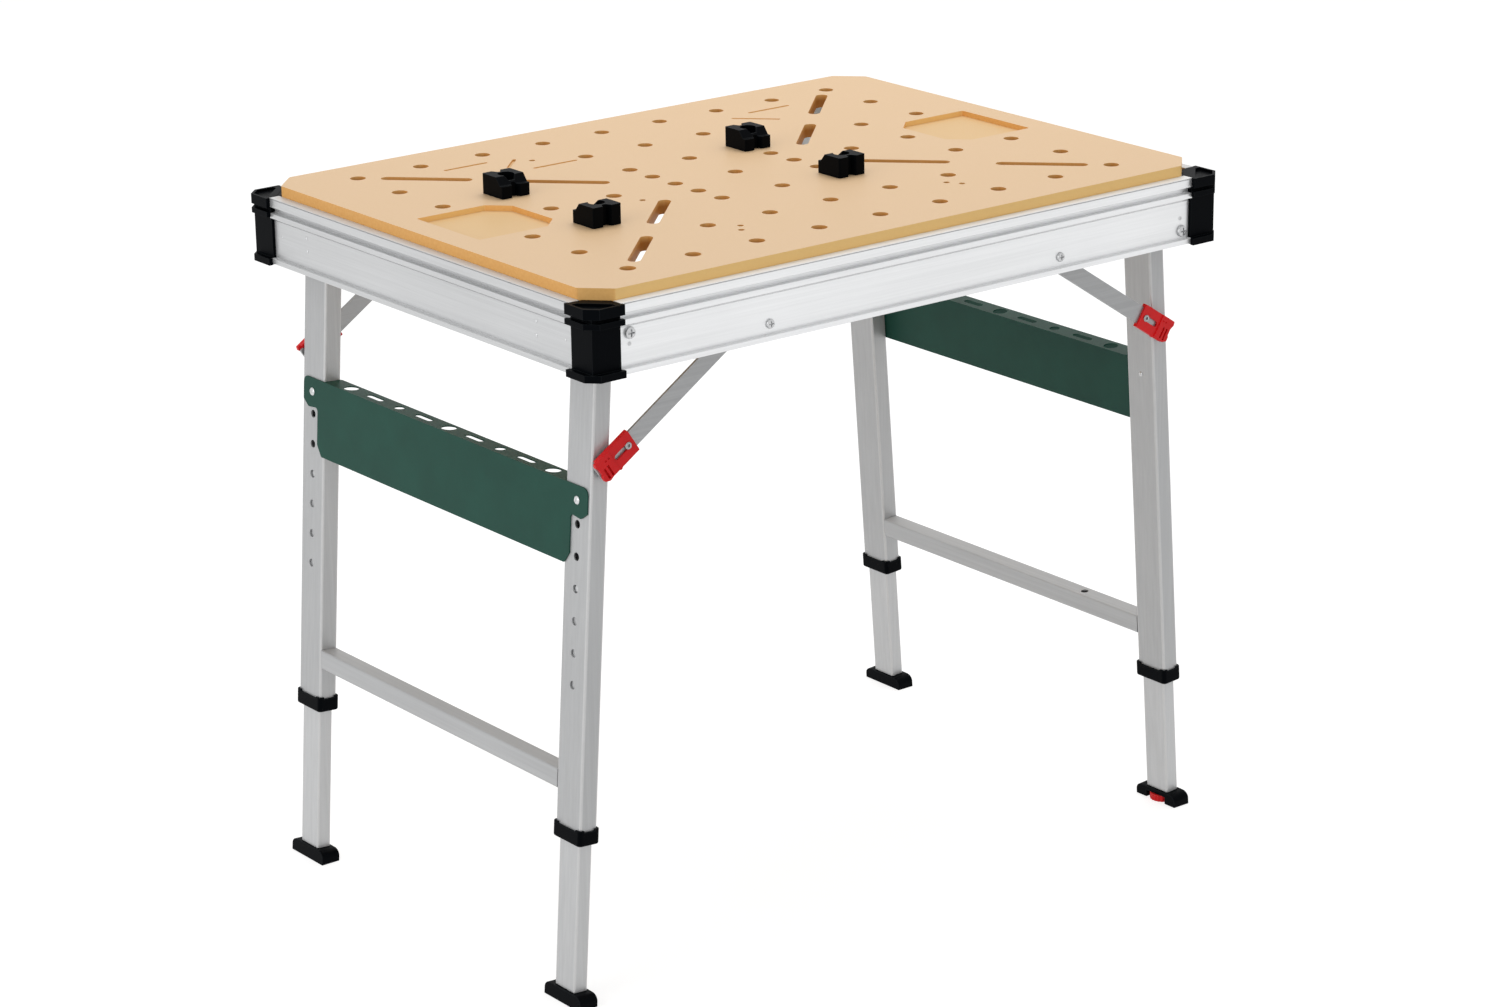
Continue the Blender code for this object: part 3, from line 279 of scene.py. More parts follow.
def inside_board(tree, place):
    """A mask of what lies inside the outline, in the holes and slots but not in the trays: where shade is
    painted.
    """
    def below(value, limit):
        return maths(tree, "LESS_THAN", value, limit)
    x, y = (maths(tree, "ABSOLUTE", place[axis]) for axis in "XY")
    tray = product(tree, maths(tree, "GREATER_THAN", x, TRAY_ZONE[0]), below(y, TRAY_ZONE[1]))
    limits = zip((x, y, maths(tree, "ADD", x, y)), INSIDE_EDGES)
    inside = [below(value, limit) for value, limit in limits]
    return product(tree, maths(tree, "SUBTRACT", 1.0, tray), *inside)


def board_material():
    made, tree, shader = start_material("fibreboard")
    skin = use(tree, SKIN, Grain_Size=0.7 * MM, Cloud_Size=90 * MM)
    spot = coordinates(tree)
    place, normal = axes_of(tree, spot), axes_of(tree, coordinates(tree, "Normal"))
    specks = ramp(tree, noise(tree, spot, 900.0, 4.0), [(0.3, 0.9), (0.52, 1.0)])
    face = mix(tree, 1.0, mix(tree, skin["Cloud"], BOARD_FACE, BOARD_FACE_PALE), specks, "MULTIPLY")
    tray = mix(tree, product(tree, skin["Cloud"], 0.3), BOARD_TRAY, BOARD_FACE)
    above_trays = maths(tree, "SUBTRACT", place["Z"], BOARD_TOP - 1.5 * MM)
    face = mix(tree, ramp(tree, above_trays, [(0.0, 0.0), (0.6 * MM, 1.0)]), tray, face)
    core = mix(tree, noise(tree, spot, 260.0, 6.0), BOARD_CORE_DARK, BOARD_CORE)
    # Painted highlight: faces that look to the front get a paler core colour.
    front = ramp(tree, product(tree, normal["Y"], -1.0), [(0.6, 0.0), (0.95, 0.8)])
    core = mix(tree, front, core, BOARD_EDGE_PAINTED_HIGHLIGHT)
    # Painted shade: the walls of holes and slots turn darker brown with depth below the top.
    depth = maths(tree, "DIVIDE", maths(tree, "SUBTRACT", BOARD_TOP, place["Z"]), PAINTED_SHADE_DEPTH)
    dark = product(tree, ramp(tree, depth, [(0.05, 0.3), (0.7, 1.0)]), inside_board(tree, place))
    core = mix(tree, dark, core, BOARD_PAINTED_HOLE_SHADE)
    flat = ramp(tree, maths(tree, "ABSOLUTE", normal["Z"]), [(0.4, 0.0), (0.98, 1.0)])
    vary(tree, shader, "Roughness", skin["Cloud"], 0.42, 0.6)
    shader.inputs["Specular IOR Level"].default_value = 0.35
    finish(tree, shader, mix(tree, flat, core, face), skin["Height"], 0.04 * MM)
    return made


FIBREBOARD = board_material()
print("board finish:", FIBREBOARD.name)

# %% [markdown]
# ### The metals
# The rails are anodised extrusions, brighter than the sprayed legs. Both keep the lines of the die or the
# brush along their length, so the same recipe serves them with another colour, stretch and roughness. All
# four rails are one extrusion, but the long rails get a paler copy of its colour and the end rails a darker
# one, as painted light and shade. The legs are less metallic than the rails, which keeps their colour as
# written in plain light. What faces up is hardly metallic at all, or it would mirror the board.

# %% Metal materials
def metal_material(name, pale, dark, stretch, roughness, metallic):
    made, tree, shader = start_material(name)
    drawn = use(tree, DRAWN, Stretch=stretch)
    edge_wear_and_highlight = use(tree, WEAR_AND_HIGHLIGHT, Patch_Size=14 * MM)
    body = mix(tree, ramp(tree, drawn["Lines"], [(0.35, 0.0), (0.65, 1.0)]), grey(dark), grey(pale))
    clouds = ramp(tree, drawn["Cloud"], [(0.35, 0.97), (0.65, 1.0)])
    body = mix(tree, 1.0, body, clouds, "MULTIPLY")
    vary(tree, shader, "Roughness", drawn["Lines"], roughness - 0.07, roughness + 0.07)
    vary(tree, shader, "Metallic", facing_up(tree, 0.8, 0.98), metallic, 0.1 * metallic)
    # Rounded edges take a paler colour: partly polish from wear, partly a painted highlight.
    finish(tree, shader, mix(tree, edge_wear_and_highlight["Mask"], body, POLISH_AND_HIGHLIGHT), drawn["Lines"], LINE_DEPTH)
    return made


def grey(value):
    """A grey with a trace of blue."""
    return linear(value - 1, value, value + 1)


POLISH_AND_HIGHLIGHT = (0.62, 0.62, 0.62)
LINE_DEPTH = 0.02 * MM
ALONG_X = (3.0, 220.0, 220.0)
ALONG_Y = (220.0, 3.0, 220.0)
ALONG_Z = (220.0, 220.0, 4.0)
EVERY_WAY = (500.0, 500.0, 500.0)
# Painted light: the long rails are written paler and the end rails darker than one shared rail colour.
RAIL_X_METAL_PAINTED_PALER = metal_material("rail metal along x painted paler", 242, 234, ALONG_X, 0.38, 0.8)
RAIL_Y_METAL_PAINTED_DARKER = metal_material("rail metal along y painted darker", 214, 204, ALONG_Y, 0.38, 0.6)
LEG_METAL = metal_material("leg metal", 190, 181, ALONG_Z, 0.42, 0.4)
INNER_METAL = metal_material("inner leg metal", 203, 194, ALONG_Z, 0.38, 0.45)
BAR_METAL = metal_material("crossbar metal", 191, 180, ALONG_Y, 0.42, 0.4)
STRUT_METAL = metal_material("strut metal", 172, 161, ALONG_X, 0.36, 0.55)
STEEL = metal_material("zinc plated steel", 214, 188, EVERY_WAY, 0.3, 0.85)
RIVET_METAL = metal_material("rivet metal", 226, 208, EVERY_WAY, 0.34, 0.6)
print("metals:", [material.name for material in bpy.data.materials if "metal" in material.name])

# %% [markdown]
# ### Paint and plastics
# The panels carry a satin powder coat with a fine orange-peel skin, dulled by a breath of dust. The black
# mouldings have a spark-eroded grain and paler edges, partly from wear and partly a painted highlight, and
# the red ones are smoother. Again one recipe serves all.

# %% Coated and moulded materials
DUST_COLOUR = linear(170, 165, 155)


def moulded_material(name, colour, wear_and_highlight_colour, roughness, gloss, grain, depth, dust):
    made, tree, shader = start_material(name)
    skin = use(tree, SKIN, Grain_Size=grain, Cloud_Size=60 * MM)
    edge_wear_and_highlight = use(tree, WEAR_AND_HIGHLIGHT, Patch_Size=9 * MM)
    film = use(tree, DUST, Amount=dust)
    clouds = ramp(tree, skin["Cloud"], [(0.3, 0.86), (0.7, 1.06)])
    body = mix(tree, 1.0, linear(*colour), clouds, "MULTIPLY")
    # Rounded edges take the worn colour, which is partly wear and partly a painted highlight.
    body = mix(tree, edge_wear_and_highlight["Mask"], body, linear(*wear_and_highlight_colour))
    vary(tree, shader, "Roughness", skin["Height"], roughness - 0.06, roughness + 0.1)
    shader.inputs["Specular IOR Level"].default_value = gloss
    finish(tree, shader, mix(tree, film["Mask"], body, DUST_COLOUR), skin["Height"], depth)
    return made


GREEN_COAT = moulded_material("green powder coat", (25, 74, 62), (56, 104, 91), 0.42, 0.15,
                              0.9 * MM, 0.02 * MM, 0.004)
BLACK_PLASTIC = moulded_material("black plastic", (2, 4, 7), (30, 33, 36), 0.42, 0.03,
                                 0.45 * MM, 0.02 * MM, 0.003)
RED_PLASTIC = moulded_material("red plastic", (226, 30, 34), (234, 74, 70), 0.36, 0.2,
                               0.8 * MM, 0.015 * MM, 0.0)
print("coats and plastics:", GREEN_COAT.name, BLACK_PLASTIC.name, RED_PLASTIC.name)

# %% [markdown]
# ## Mesh helpers
# Nearly every piece of a bench is an outline drawn out to a length, a ring drawn out to a tube, or a turned
# profile. These helpers give those meshes in the piece's own easy position. dress() then moves the mesh
# data, so that each object stays at the origin as the CAD nodes do, hangs the piece on the body it rides on
# and hides the CAD node that it stands for.

# %% Helpers for outlines
def in_mm(points):
    return [(a * MM, b * MM) for a, b in points]


def arc(centre, radius, start, end, steps):
    """Points on an arc, with angles in degrees."""
    points = []
    for i in range(steps + 1):
        angle = math.radians(start + (end - start) * i / steps)
        points.append((centre[0] + radius * math.cos(angle), centre[1] + radius * math.sin(angle)))
    return points


def rounded(width, depth, radius):
    """A rectangle around the origin with round corners."""
    x, y = width / 2 - radius, depth / 2 - radius
    points = []
    for cx, cy, start in ((x, y, 0), (-x, y, 90), (-x, -y, 180), (x, -y, 270)):
        points += arc((cx, cy), radius, start, start + 90, 6)
    return points


def soften(outline, radius, steps=4):
    """Rounds the corners of an outline, with one radius for all or one for each."""
    points = [Vector(point) for point in outline]
    sizes = radius if isinstance(radius, list) else [radius] * len(points)
    result = []
    for i, (corner, size) in enumerate(zip(points, sizes)):
        if size == 0:
            result.append(tuple(corner))
            continue
        before = (points[i - 1] - corner).normalized()
        after = (points[(i + 1) % len(points)] - corner).normalized()
        half = before.angle(after) / 2
        middle = corner + (before + after).normalized() * size / math.sin(half)
        first = corner + before * size / math.tan(half) - middle
        last = corner + after * size / math.tan(half) - middle
        start = math.degrees(math.atan2(first.y, first.x))
        turn = (math.degrees(math.atan2(last.y, last.x)) - start + 180) % 360 - 180
        result += arc(middle, size, start, start + turn, steps)
    return result


# %% Helpers for solid meshes
AXES = {
    "Z": Matrix.Identity(4),
    "Y": Matrix(((1, 0, 0, 0), (0, 0, 1, 0), (0, 1, 0, 0), (0, 0, 0, 1))),
    "X": Matrix(((0, 0, 1, 0), (1, 0, 0, 0), (0, 1, 0, 0), (0, 0, 0, 1))),
}
IN_PLACE = Matrix.Identity(4)


def shift(x, y, z):
    return Matrix.Translation((x, y, z))


def stack(sections, axis="Z", ring=False):
    """Joins outlines with equal counts of points, each (outline, height), along an axis. A ring goes back
    to its first outline."""
    bm = bmesh.new()
    rings = [[bm.verts.new((a, b, height)) for a, b in outline] for outline, height in sections]
    pairs = list(zip(rings, rings[1:]))
    if ring:
        pairs.append((rings[-1], rings[0]))
    for lower, upper in pairs:
        for i in range(len(lower)):
            j = (i + 1) % len(lower)
            bm.faces.new((lower[i], lower[j], upper[j], upper[i]))
    if not ring:
        bm.faces.new(rings[0])
        bm.faces.new(rings[-1])
    bm.transform(AXES[axis])
    bmesh.ops.remove_doubles(bm, verts=bm.verts, dist=1e-7)
    bmesh.ops.recalc_face_normals(bm, faces=bm.faces)
    mesh = bpy.data.meshes.new("mesh")
    bm.to_mesh(mesh)
    bm.free()
    return mesh


def prism(outline, low, high, axis="Z"):
    return stack([(outline, low), (outline, high)], axis)


def box(x, y, z):
    return prism([(x[0], y[0]), (x[1], y[0]), (x[1], y[1]), (x[0], y[1])], z[0], z[1])


def turned(profile, axis="Z", sides=32):
    """A solid turned from (radius, position) points."""
    last = 360 * (sides - 1) / sides
    return stack([(arc((0, 0), radius, 0, last, sides - 1), t) for radius, t in profile], axis)


def place(mesh, matrix):
    mesh.transform(matrix)
    if matrix.determinant() < 0:
        mesh.flip_normals()
    return mesh


def merge(meshes):
    """Several meshes in one."""
    bm = bmesh.new()
    for mesh in meshes:
        bm.from_mesh(mesh)
    whole = bpy.data.meshes.new("mesh")
    bm.to_mesh(whole)
    bm.free()
    return whole


# %% Helpers for finished pieces
def show(name, mesh, material=None):
    """An object in the scene, with one material."""
    piece = bpy.data.objects.new(name, mesh)
    bpy.context.scene.collection.objects.link(piece)
    if material:
        piece.data.materials.clear()
        piece.data.materials.append(material)
        for face in mesh.polygons:
            face.material_index = 0
    return piece


def settled(piece):
    """A piece's mesh with its modifiers applied."""
    graph = bpy.context.evaluated_depsgraph_get()
    graph.update()
    return bpy.data.meshes.new_from_object(piece.evaluated_get(graph))


def modify(piece, kind, **settings):
    """Changes a piece with one modifier and keeps the result."""
    step = piece.modifiers.new("step", kind)
    for key, value in settings.items():
        setattr(step, key, value)
    result = settled(piece)
    piece.modifiers.clear()
    piece.data = result


def combine(piece, mesh, operation):
    tool = show("tool", mesh)
    modify(piece, "BOOLEAN", operation=operation, solver="EXACT", object=tool)
    bpy.data.objects.remove(tool)


def cut(piece, *meshes):
    for mesh in meshes:
        combine(piece, mesh, "DIFFERENCE")


def join(piece, mesh):
    combine(piece, mesh, "UNION")


def ease_edges(piece, width, segments, wanted):
    """Rounds only the edges that the test wants. It is given an edge's two ends."""
    mesh = piece.data
    weights = mesh.attributes.new("bevel_weight_edge", "FLOAT", "EDGE")
    for edge, weight in zip(mesh.edges, weights.data):
        weight.value = float(wanted(*[mesh.vertices[i].co for i in edge.vertices]))
    modify(piece, "BEVEL", width=width, segments=segments, limit_method="WEIGHT")
    weights = piece.data.attributes.get("bevel_weight_edge")
    if weights:
        piece.data.attributes.remove(weights)


def round_off(piece, width, angle):
    """Takes the sharpness off the edges that turn more than the angle. The new faces are marked for edge wear
    and a painted highlight.
    """
    material = piece.data.materials[0]
    piece.data.materials.append(material)
    modify(piece, "BEVEL", width=width, segments=3, limit_method="ANGLE", angle_limit=math.radians(angle),
           material=1)
    marks = piece.data.attributes.new(EDGE_MARK, "FLOAT", "FACE")
    for face, mark in zip(piece.data.polygons, marks.data):
        mark.value = float(face.material_index)
        face.material_index = 0
    piece.data.materials.clear()
    piece.data.materials.append(material)


def dress(piece, matrix, body, stands_for, smooth=35):
    place(piece.data, matrix)
    piece.data.shade_smooth()
    piece.data.set_sharp_from_angle(angle=math.radians(smooth))
    modify(piece, "WEIGHTED_NORMAL", keep_sharp=True)
    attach(piece, body)
    if stands_for:
        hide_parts(stands_for)


# %% [markdown]
# ## Geometry Nodes helpers
# What repeats or follows a path is made by a Geometry Nodes tree. grow() hangs a tree on an object, sets
# its inputs by their identifiers, and turns the result into a plain mesh, so nothing procedural is left to
# export.

# %% Helpers for Geometry Nodes
def send_out(tree, geometry, finish_socket, wanted):
    """The end of every tree: real geometry with its material."""
    real = output(tree, "GeometryNodeRealizeInstances", {"Geometry": geometry})
    painted = output(tree, "GeometryNodeSetMaterial", {"Geometry": real, "Material": finish_socket})
    tree.links.new(painted, wanted)
    return tree


def joined(tree, *parts):
    made = add(tree, "GeometryNodeJoinGeometry")
    for part in parts:
        tree.links.new(part, made.inputs[0])
    return made.outputs[0]


def cut_away(tree, whole, cutters):
    meshes = {"Mesh 1": whole, "Mesh 2": cutters}
    return output(tree, "GeometryNodeMeshBoolean", meshes, operation="DIFFERENCE", solver="EXACT")


def shape_of(tree, helper):
    return output(tree, "GeometryNodeObjectInfo", {"Object": helper}, "Geometry")


def grow(name, tree, values, source):
    """Runs a tree on some source data and returns an object with the result as its mesh. The helper objects
    among the tree's values are cleared away."""
    piece = show(name, source)
    step = piece.modifiers.new(tree.name, "NODES")
    step.node_group = tree
    for item in tree.interface.items_tree:
        if item.item_type == "SOCKET" and item.in_out == "INPUT" and item.name in values:
            step[item.identifier] = values[item.name]
    result = settled(piece)
    for spent in [piece] + [value for value in values.values() if isinstance(value, bpy.types.Object)]:
        bpy.data.objects.remove(spent)
    return show(name, result, values["Finish"])


def outline_object(outlines):
    """A helper object: closed flat curves in XY, one for each outline."""
    curve = bpy.data.curves.new("outline", "CURVE")
    curve.dimensions = "3D"
    for outline in outlines:
        spline = curve.splines.new("POLY")
        spline.points.add(len(outline) - 1)
        for point, (x, y) in zip(spline.points, outline):
            point.co = (x, y, 0.0, 1.0)
        spline.use_cyclic_u = True
    return show("outline", curve)


def points_mesh(points):
    """Bare vertices for a tree to place things on."""
    mesh = bpy.data.meshes.new("points")
    mesh.from_pydata(points, [], [])
    return mesh


# %% [markdown]
# ## The perforated board
# A router cuts the real board: one outline, a grid of dog holes and some slots, all straight through. The
# same order works in Geometry Nodes. A circle is put on every grid point, all curves are filled as one flat
# figure, and that figure is drawn out to the board's thickness. A Boolean would do it too, but filled
# curves keep every hole round and the top face clean. Only the trays and grooves, which stop short of the
# far side, are cut.

# %% Board tree
def build_board_tree():
    inputs = {"Holes": GEOMETRY, "Outline": OBJECT, "Pockets": OBJECT, "Hole Radius": FLOAT,
              "Hole Sides": INTEGER, "Thickness": FLOAT, "Finish": MATERIAL}
    tree, sent, wanted = new_group("perforated board", "GeometryNodeTree", inputs, {"Board": GEOMETRY})
    sizes = {"Resolution": sent["Hole Sides"], "Radius": sent["Hole Radius"]}
    circle = output(tree, "GeometryNodeCurvePrimitiveCircle", sizes)
    rings = output(tree, "GeometryNodeInstanceOnPoints", {"Points": sent["Holes"], "Instance": circle})
    loose = output(tree, "GeometryNodeRealizeInstances", {"Geometry": rings})
    curves = joined(tree, shape_of(tree, sent["Outline"]), loose)
    filled = output(tree, "GeometryNodeFillCurve", {"Curve": curves})
    up = output(tree, "ShaderNodeCombineXYZ", {"Z": sent["Thickness"]})
    drawn = output(tree, "GeometryNodeExtrudeMesh", {"Mesh": filled, "Offset": up, "Offset Scale": 1.0,
                                                     "Individual": False})
    shell = joined(tree, drawn, output(tree, "GeometryNodeFlipFaces", {"Mesh": filled}))
    closed = output(tree, "GeometryNodeMergeByDistance", {"Geometry": shell, "Distance": 1e-6})
    routed = cut_away(tree, closed, shape_of(tree, sent["Pockets"]))
    return send_out(tree, routed, sent["Finish"], wanted["Board"])


BOARD_TREE = build_board_tree()
print("board tree:", len(BOARD_TREE.nodes), "nodes")

# %% Board sizes and hole pattern
BOARD_LENGTH = 960 * MM
BOARD_WIDTH = 702 * MM
BOARD_THICKNESS = 18 * MM
BOARD_CORNER_CUT = 33 * MM
BOARD_EDGE_RADIUS = 6.5 * MM
HOLE_PITCH = 96 * MM
DOG_HOLE_RADIUS = 10 * MM
SCREW_HOLE_RADIUS = 4 * MM
SLOT = (118 * MM, 16 * MM)
SLOT_CENTRES = in_mm([(320, 227), (197, 100)])
TRAY = [(442, -67.5), (442, 67.5), (341, 67.5), (316, 42.5), (316, -42.5), (341, -67.5)]
TRAY_DEPTH = 7 * MM
GROOVE_DEPTH = 2.5 * MM
GROOVE_WIDTH = 5 * MM
HOLE_ROWS = {3: range(-4, 5), 2: (-4, -1, 0, 1, 4), 1: (-4, -3, -1, 0, 1, 3, 4), 0: range(-3, 4),
             -1: (-4, -3, -1, 0, 1, 3, 4), -2: (-4, -2, -1, 0, 1, 2, 4), -3: range(-4, 5)}
SCREW_HOLES = in_mm([(-161, 220), (-178, -41), (-175, -236), (-163, -219), (165, -220), (176, -237)])
GROOVES = [((-245, 249), 0, 67), ((-150, 184), 0, 69), ((251, 248), 0, 70), ((-191, 223.5), 45, 46),
           ((202.5, 214.5), -45, 66)]  # centre, direction in degrees and length
print("dog hole rows:", len(HOLE_ROWS), "screw holes:", len(SCREW_HOLES), "grooves:", len(GROOVES))


def slot_outline(centre, direction, length, width):
    """A straight slot with round ends, along a direction in degrees."""
    run = (length - width) / 2
    points = arc((run, 0), width / 2, -90, 90, 10) + arc((-run, 0), width / 2, 90, 270, 10)
    turn = Matrix.Rotation(math.radians(direction), 2)
    return [(centre[0] + (turn @ Vector(p)).x, centre[1] + (turn @ Vector(p)).y) for p in points]


def cut_corners(length, width, corner):
    """A rectangle with its corners cut off at 45 degrees, anticlockwise."""
    x, y = length / 2, width / 2
    half = [(x, -y + corner), (x, y - corner), (x - corner, y), (-x + corner, y)]
    return half + [(-a, -b) for a, b in half]


def on_outer_arris(first, last):
    """Whether an edge runs along the top of the board's outside."""
    near = 3 * MM
    corner = BOARD_LENGTH / 2 + BOARD_WIDTH / 2 - BOARD_CORNER_CUT

    def outside(spot):
        x, y = abs(spot.x), abs(spot.y)
        reach = max(x - BOARD_LENGTH / 2, y - BOARD_WIDTH / 2, x + y - corner)
        return spot.z > BOARD_TOP - 0.1 * MM and reach > -near
    return outside(first) and outside(last)


# %% Make the board
def make_board():
    grid = [(column, row) for row, columns in HOLE_ROWS.items() for column in columns]
    grid += [(column, row) for column in (-1, 1) for row in (-0.5, 0.5)]
    holes = points_mesh([(column * HOLE_PITCH, row * HOLE_PITCH, 0) for column, row in grid])
    outlines = [soften(cut_corners(BOARD_LENGTH, BOARD_WIDTH, BOARD_CORNER_CUT), 6 * MM)]
    for cx, cy in SLOT_CENTRES:
        for sx in (-1, 1):
            for sy in (-1, 1):
                outlines.append(slot_outline((sx * cx, sy * cy), 45 * sx * sy, *SLOT))
    outlines += [arc(centre, SCREW_HOLE_RADIUS, 0, 345, 23) for centre in SCREW_HOLES]
    above = BOARD_THICKNESS + 2 * MM
    cutters = []
    for side in (-1, 1):
        tray = soften(in_mm([(side * x, y) for x, y in TRAY]), 3 * MM)
        cutters.append(prism(tray, BOARD_THICKNESS - TRAY_DEPTH, above))
    for (x, y), direction, length in GROOVES:
        groove = slot_outline((x * MM, y * MM), direction, length * MM, GROOVE_WIDTH)
        cutters.append(prism(groove, BOARD_THICKNESS - GROOVE_DEPTH, above))
    values = {"Outline": outline_object(outlines), "Pockets": show("pockets", merge(cutters)),
              "Hole Radius": DOG_HOLE_RADIUS, "Hole Sides": 40, "Thickness": BOARD_THICKNESS,
              "Finish": FIBREBOARD}
    board = grow("board", BOARD_TREE, values, holes)
    place(board.data, shift(0, 0, BOARD_TOP - BOARD_THICKNESS))
    ease_edges(board, BOARD_EDGE_RADIUS, 8, on_outer_arris)
    round_off(board, 0.45 * MM, 50)
    dress(board, IN_PLACE, "bench_top", "worktop", smooth=25)
    print("board:", len(grid), "dog holes,", len(board.data.polygons), "faces")


make_board()

# %% [markdown]
# ## The rails
# A rail is pressed through a die, so its cross-section is the same all along. That is a curve swept along a
# straight path: the profile is drawn once, and one tree sweeps it for all four rails.

# %% Sweep tree
def build_sweep_tree():
    inputs = {"Profile": OBJECT, "Length": FLOAT, "Finish": MATERIAL}
    tree, sent, wanted = new_group("swept extrusion", "GeometryNodeTree", inputs, {"Rail": GEOMETRY})
    ends = {title: output(tree, "ShaderNodeCombineXYZ", {"Z": product(tree, sent["Length"], share)})
            for title, share in (("Start", -0.5), ("End", 0.5))}
    path = output(tree, "GeometryNodeCurvePrimitiveLine", ends)
    profile = shape_of(tree, sent["Profile"])
    swept = output(tree, "GeometryNodeCurveToMesh", {"Curve": path, "Profile Curve": profile,
                                                     "Fill Caps": True})
    return send_out(tree, swept, sent["Finish"], wanted["Rail"])


SWEEP = build_sweep_tree()
print("sweep tree:", len(SWEEP.nodes), "nodes")

# %% Rails
GAP = 0.3 * MM
CAP_ARM = 41 * MM
CAP_HALF = (493 * MM, 364.5 * MM)      # from the middle to the outsides of the corner caps
LIP = (CAP_HALF[0] + 2 * MM, CAP_HALF[1] + 2 * MM)
FRAME_BOTTOM = 803.6 * MM
FRAME_TOP = 889.4 * MM
WEB_DEPTH = 6 * MM                     # the web's face, behind the lips' face
WEB_BACK = 8.5 * MM
LEDGE = {"x": 15.2, "y": 14.7}         # how far in the rails carry the board, in millimetres


def rail_profile(ledge):
    """The extrusion as (depth behind the lips' face, height above the rail's underside), in millimetres."""
    shelf = 81.1
    lower_lip = [(0, 0), (0, 6.4), (0.8, 6.9), (6, 6.9)]
    web = [(6, 55.2), (6.8, 55.8), (6.8, 56.2), (6, 56.8), (6, 59.4)]
    rib = [(0, 59.4), (0, 65.8), (7.4, 65.8), (7.4, 73.2)]
    upper_lip = [(1.2, 73.2), (0.4, 73.8), (0, 75), (0, 84.2), (2.4, 84.2), (2.4, 85.0), (0, 85.0), (0, 85.8)]
    inside = [(ledge, 85.8), (ledge, shelf), (30, shelf), (30, shelf - 3), (8.5, shelf - 3), (8.5, 2.5),
              (16, 2.5), (16, 0)]
    return lower_lip + web + rib + upper_lip + inside


def make_rail(name, out, half_length, lip, ledge, material):
    """A rail whose lips face the way out, a unit vector."""
    profile = in_mm([(-depth, height) for depth, height in rail_profile(ledge)])
    values = {"Profile": outline_object([profile]), "Length": 2 * half_length, "Finish": material}
    rail = grow(name + "_extrusion", SWEEP, values, points_mesh([(0, 0, 0)]))
    up = Vector((0, 0, 1))
    turn = Matrix((out, up, out.cross(up))).transposed().to_4x4()
    place(rail.data, Matrix.Translation(out * lip + up * FRAME_BOTTOM) @ turn)
    bm = bmesh.new()
    bm.from_mesh(rail.data)
    bmesh.ops.recalc_face_normals(bm, faces=bm.faces)
    bm.to_mesh(rail.data)
    bm.free()
    round_off(rail, 0.35 * MM, 40)
    dress(rail, IN_PLACE, "bench_top", name)


for name, way in (("front_rail", -1), ("back_rail", 1)):
    make_rail(name, Vector((0, way, 0)), CAP_HALF[0] - CAP_ARM - GAP, LIP[1], LEDGE["x"], RAIL_X_METAL_PAINTED_PALER)
for name, way in (("left_rail", -1), ("right_rail", 1)):
    make_rail(name, Vector((way, 0, 0)), CAP_HALF[1] - CAP_ARM - GAP, LIP[0], LEDGE["y"], RAIL_Y_METAL_PAINTED_DARKER)
print("rails: 4, each with", len(rail_profile(LEDGE["x"])), "points in its profile")

# %% [markdown]
# ## The corner caps
# A cap is one moulding: a hollow post with three flanges, which grip the ends of two rails. Prisms joined
# with an exact Boolean give the same steps as the tool that moulds it, and a small round-off afterwards
# catches the light as moulded edges do.

# %% Corner caps
SIGN = {"left": -1, "right": 1}
CORNERS = [(end + "_" + side, side, sx, sy) for end, sy in (("front", -1), ("back", 1))
           for side, sx in SIGN.items()]
CAP_BOTTOM = 802.1 * MM
CAP_WALL = 4 * MM
CAP_LID = 9 * MM
CAP_LEAN = 17.5 * MM                   # where the post's slanted inner face starts
CAP_LEVELS = [(801.6 * MM, 810.5 * MM), (864.7 * MM, 871.6 * MM), (FRAME_TOP - 12.8 * MM, FRAME_TOP)]
CAP_RECESS = in_mm([(8.5, -4.5), (32, -4.5), (32, 3), (3, 32), (-4.5, 32), (-4.5, 8.5)])
CAP_RECESS_DEPTH = 4 * MM


def cap_body(wall):
    """The post, as distances in from its outer corner."""
    reach = CAP_ARM - wall
    lean = CAP_LEAN - wall
    return [(wall, wall), (reach, wall), (reach, lean), (lean, reach), (wall, reach)]


def cap_flange():
    out = -7.6 * MM
    face = -2.3 * MM                   # just in front of the rails' lips
    reach = CAP_ARM - 0.5 * MM
    grip = CAP_ARM + 1.6 * MM
    half = [(out + 14 * MM, out), (grip, out), (grip, face), (reach, face), (reach, 8 * MM)]
    return half + [(b, a) for a, b in half[::-1]]


def make_cap(name, side, sx, sy):
    def block(outline, low, high):
        return prism([(sx * (CAP_HALF[0] - a), sy * (CAP_HALF[1] - b)) for a, b in outline], low, high)
    cap = show("cap_" + name, block(cap_body(0), CAP_BOTTOM, FRAME_TOP - 0.5 * MM), BLACK_PLASTIC)
    for low, high in CAP_LEVELS:
        join(cap, block(cap_flange(), low, high))
    cut(cap, block(cap_body(CAP_WALL), CAP_BOTTOM - 12.1 * MM, FRAME_TOP - CAP_LID),
        block(CAP_RECESS, FRAME_TOP - CAP_RECESS_DEPTH, FRAME_TOP + 5 * MM))
    round_off(cap, 0.5 * MM, 30)
    dress(cap, IN_PLACE, "bench_top", "corner_cap_" + name)


for corner in CORNERS:
    make_cap(*corner)
print("corner caps:", len(CORNERS))

# %% [markdown]
# ## Legs
# The leg pairs lean out by four degrees. Each leg piece is built upright with its hinge at the origin,
# where its sizes are easy, and one matrix for each side leans it into place. The right pair hangs lower, as
# its hinges do, so that the left pair folds above it. The height holes are a row of cutters that a tree
# sets out by count and pitch and takes away from the tube, as a drill with a stop would.

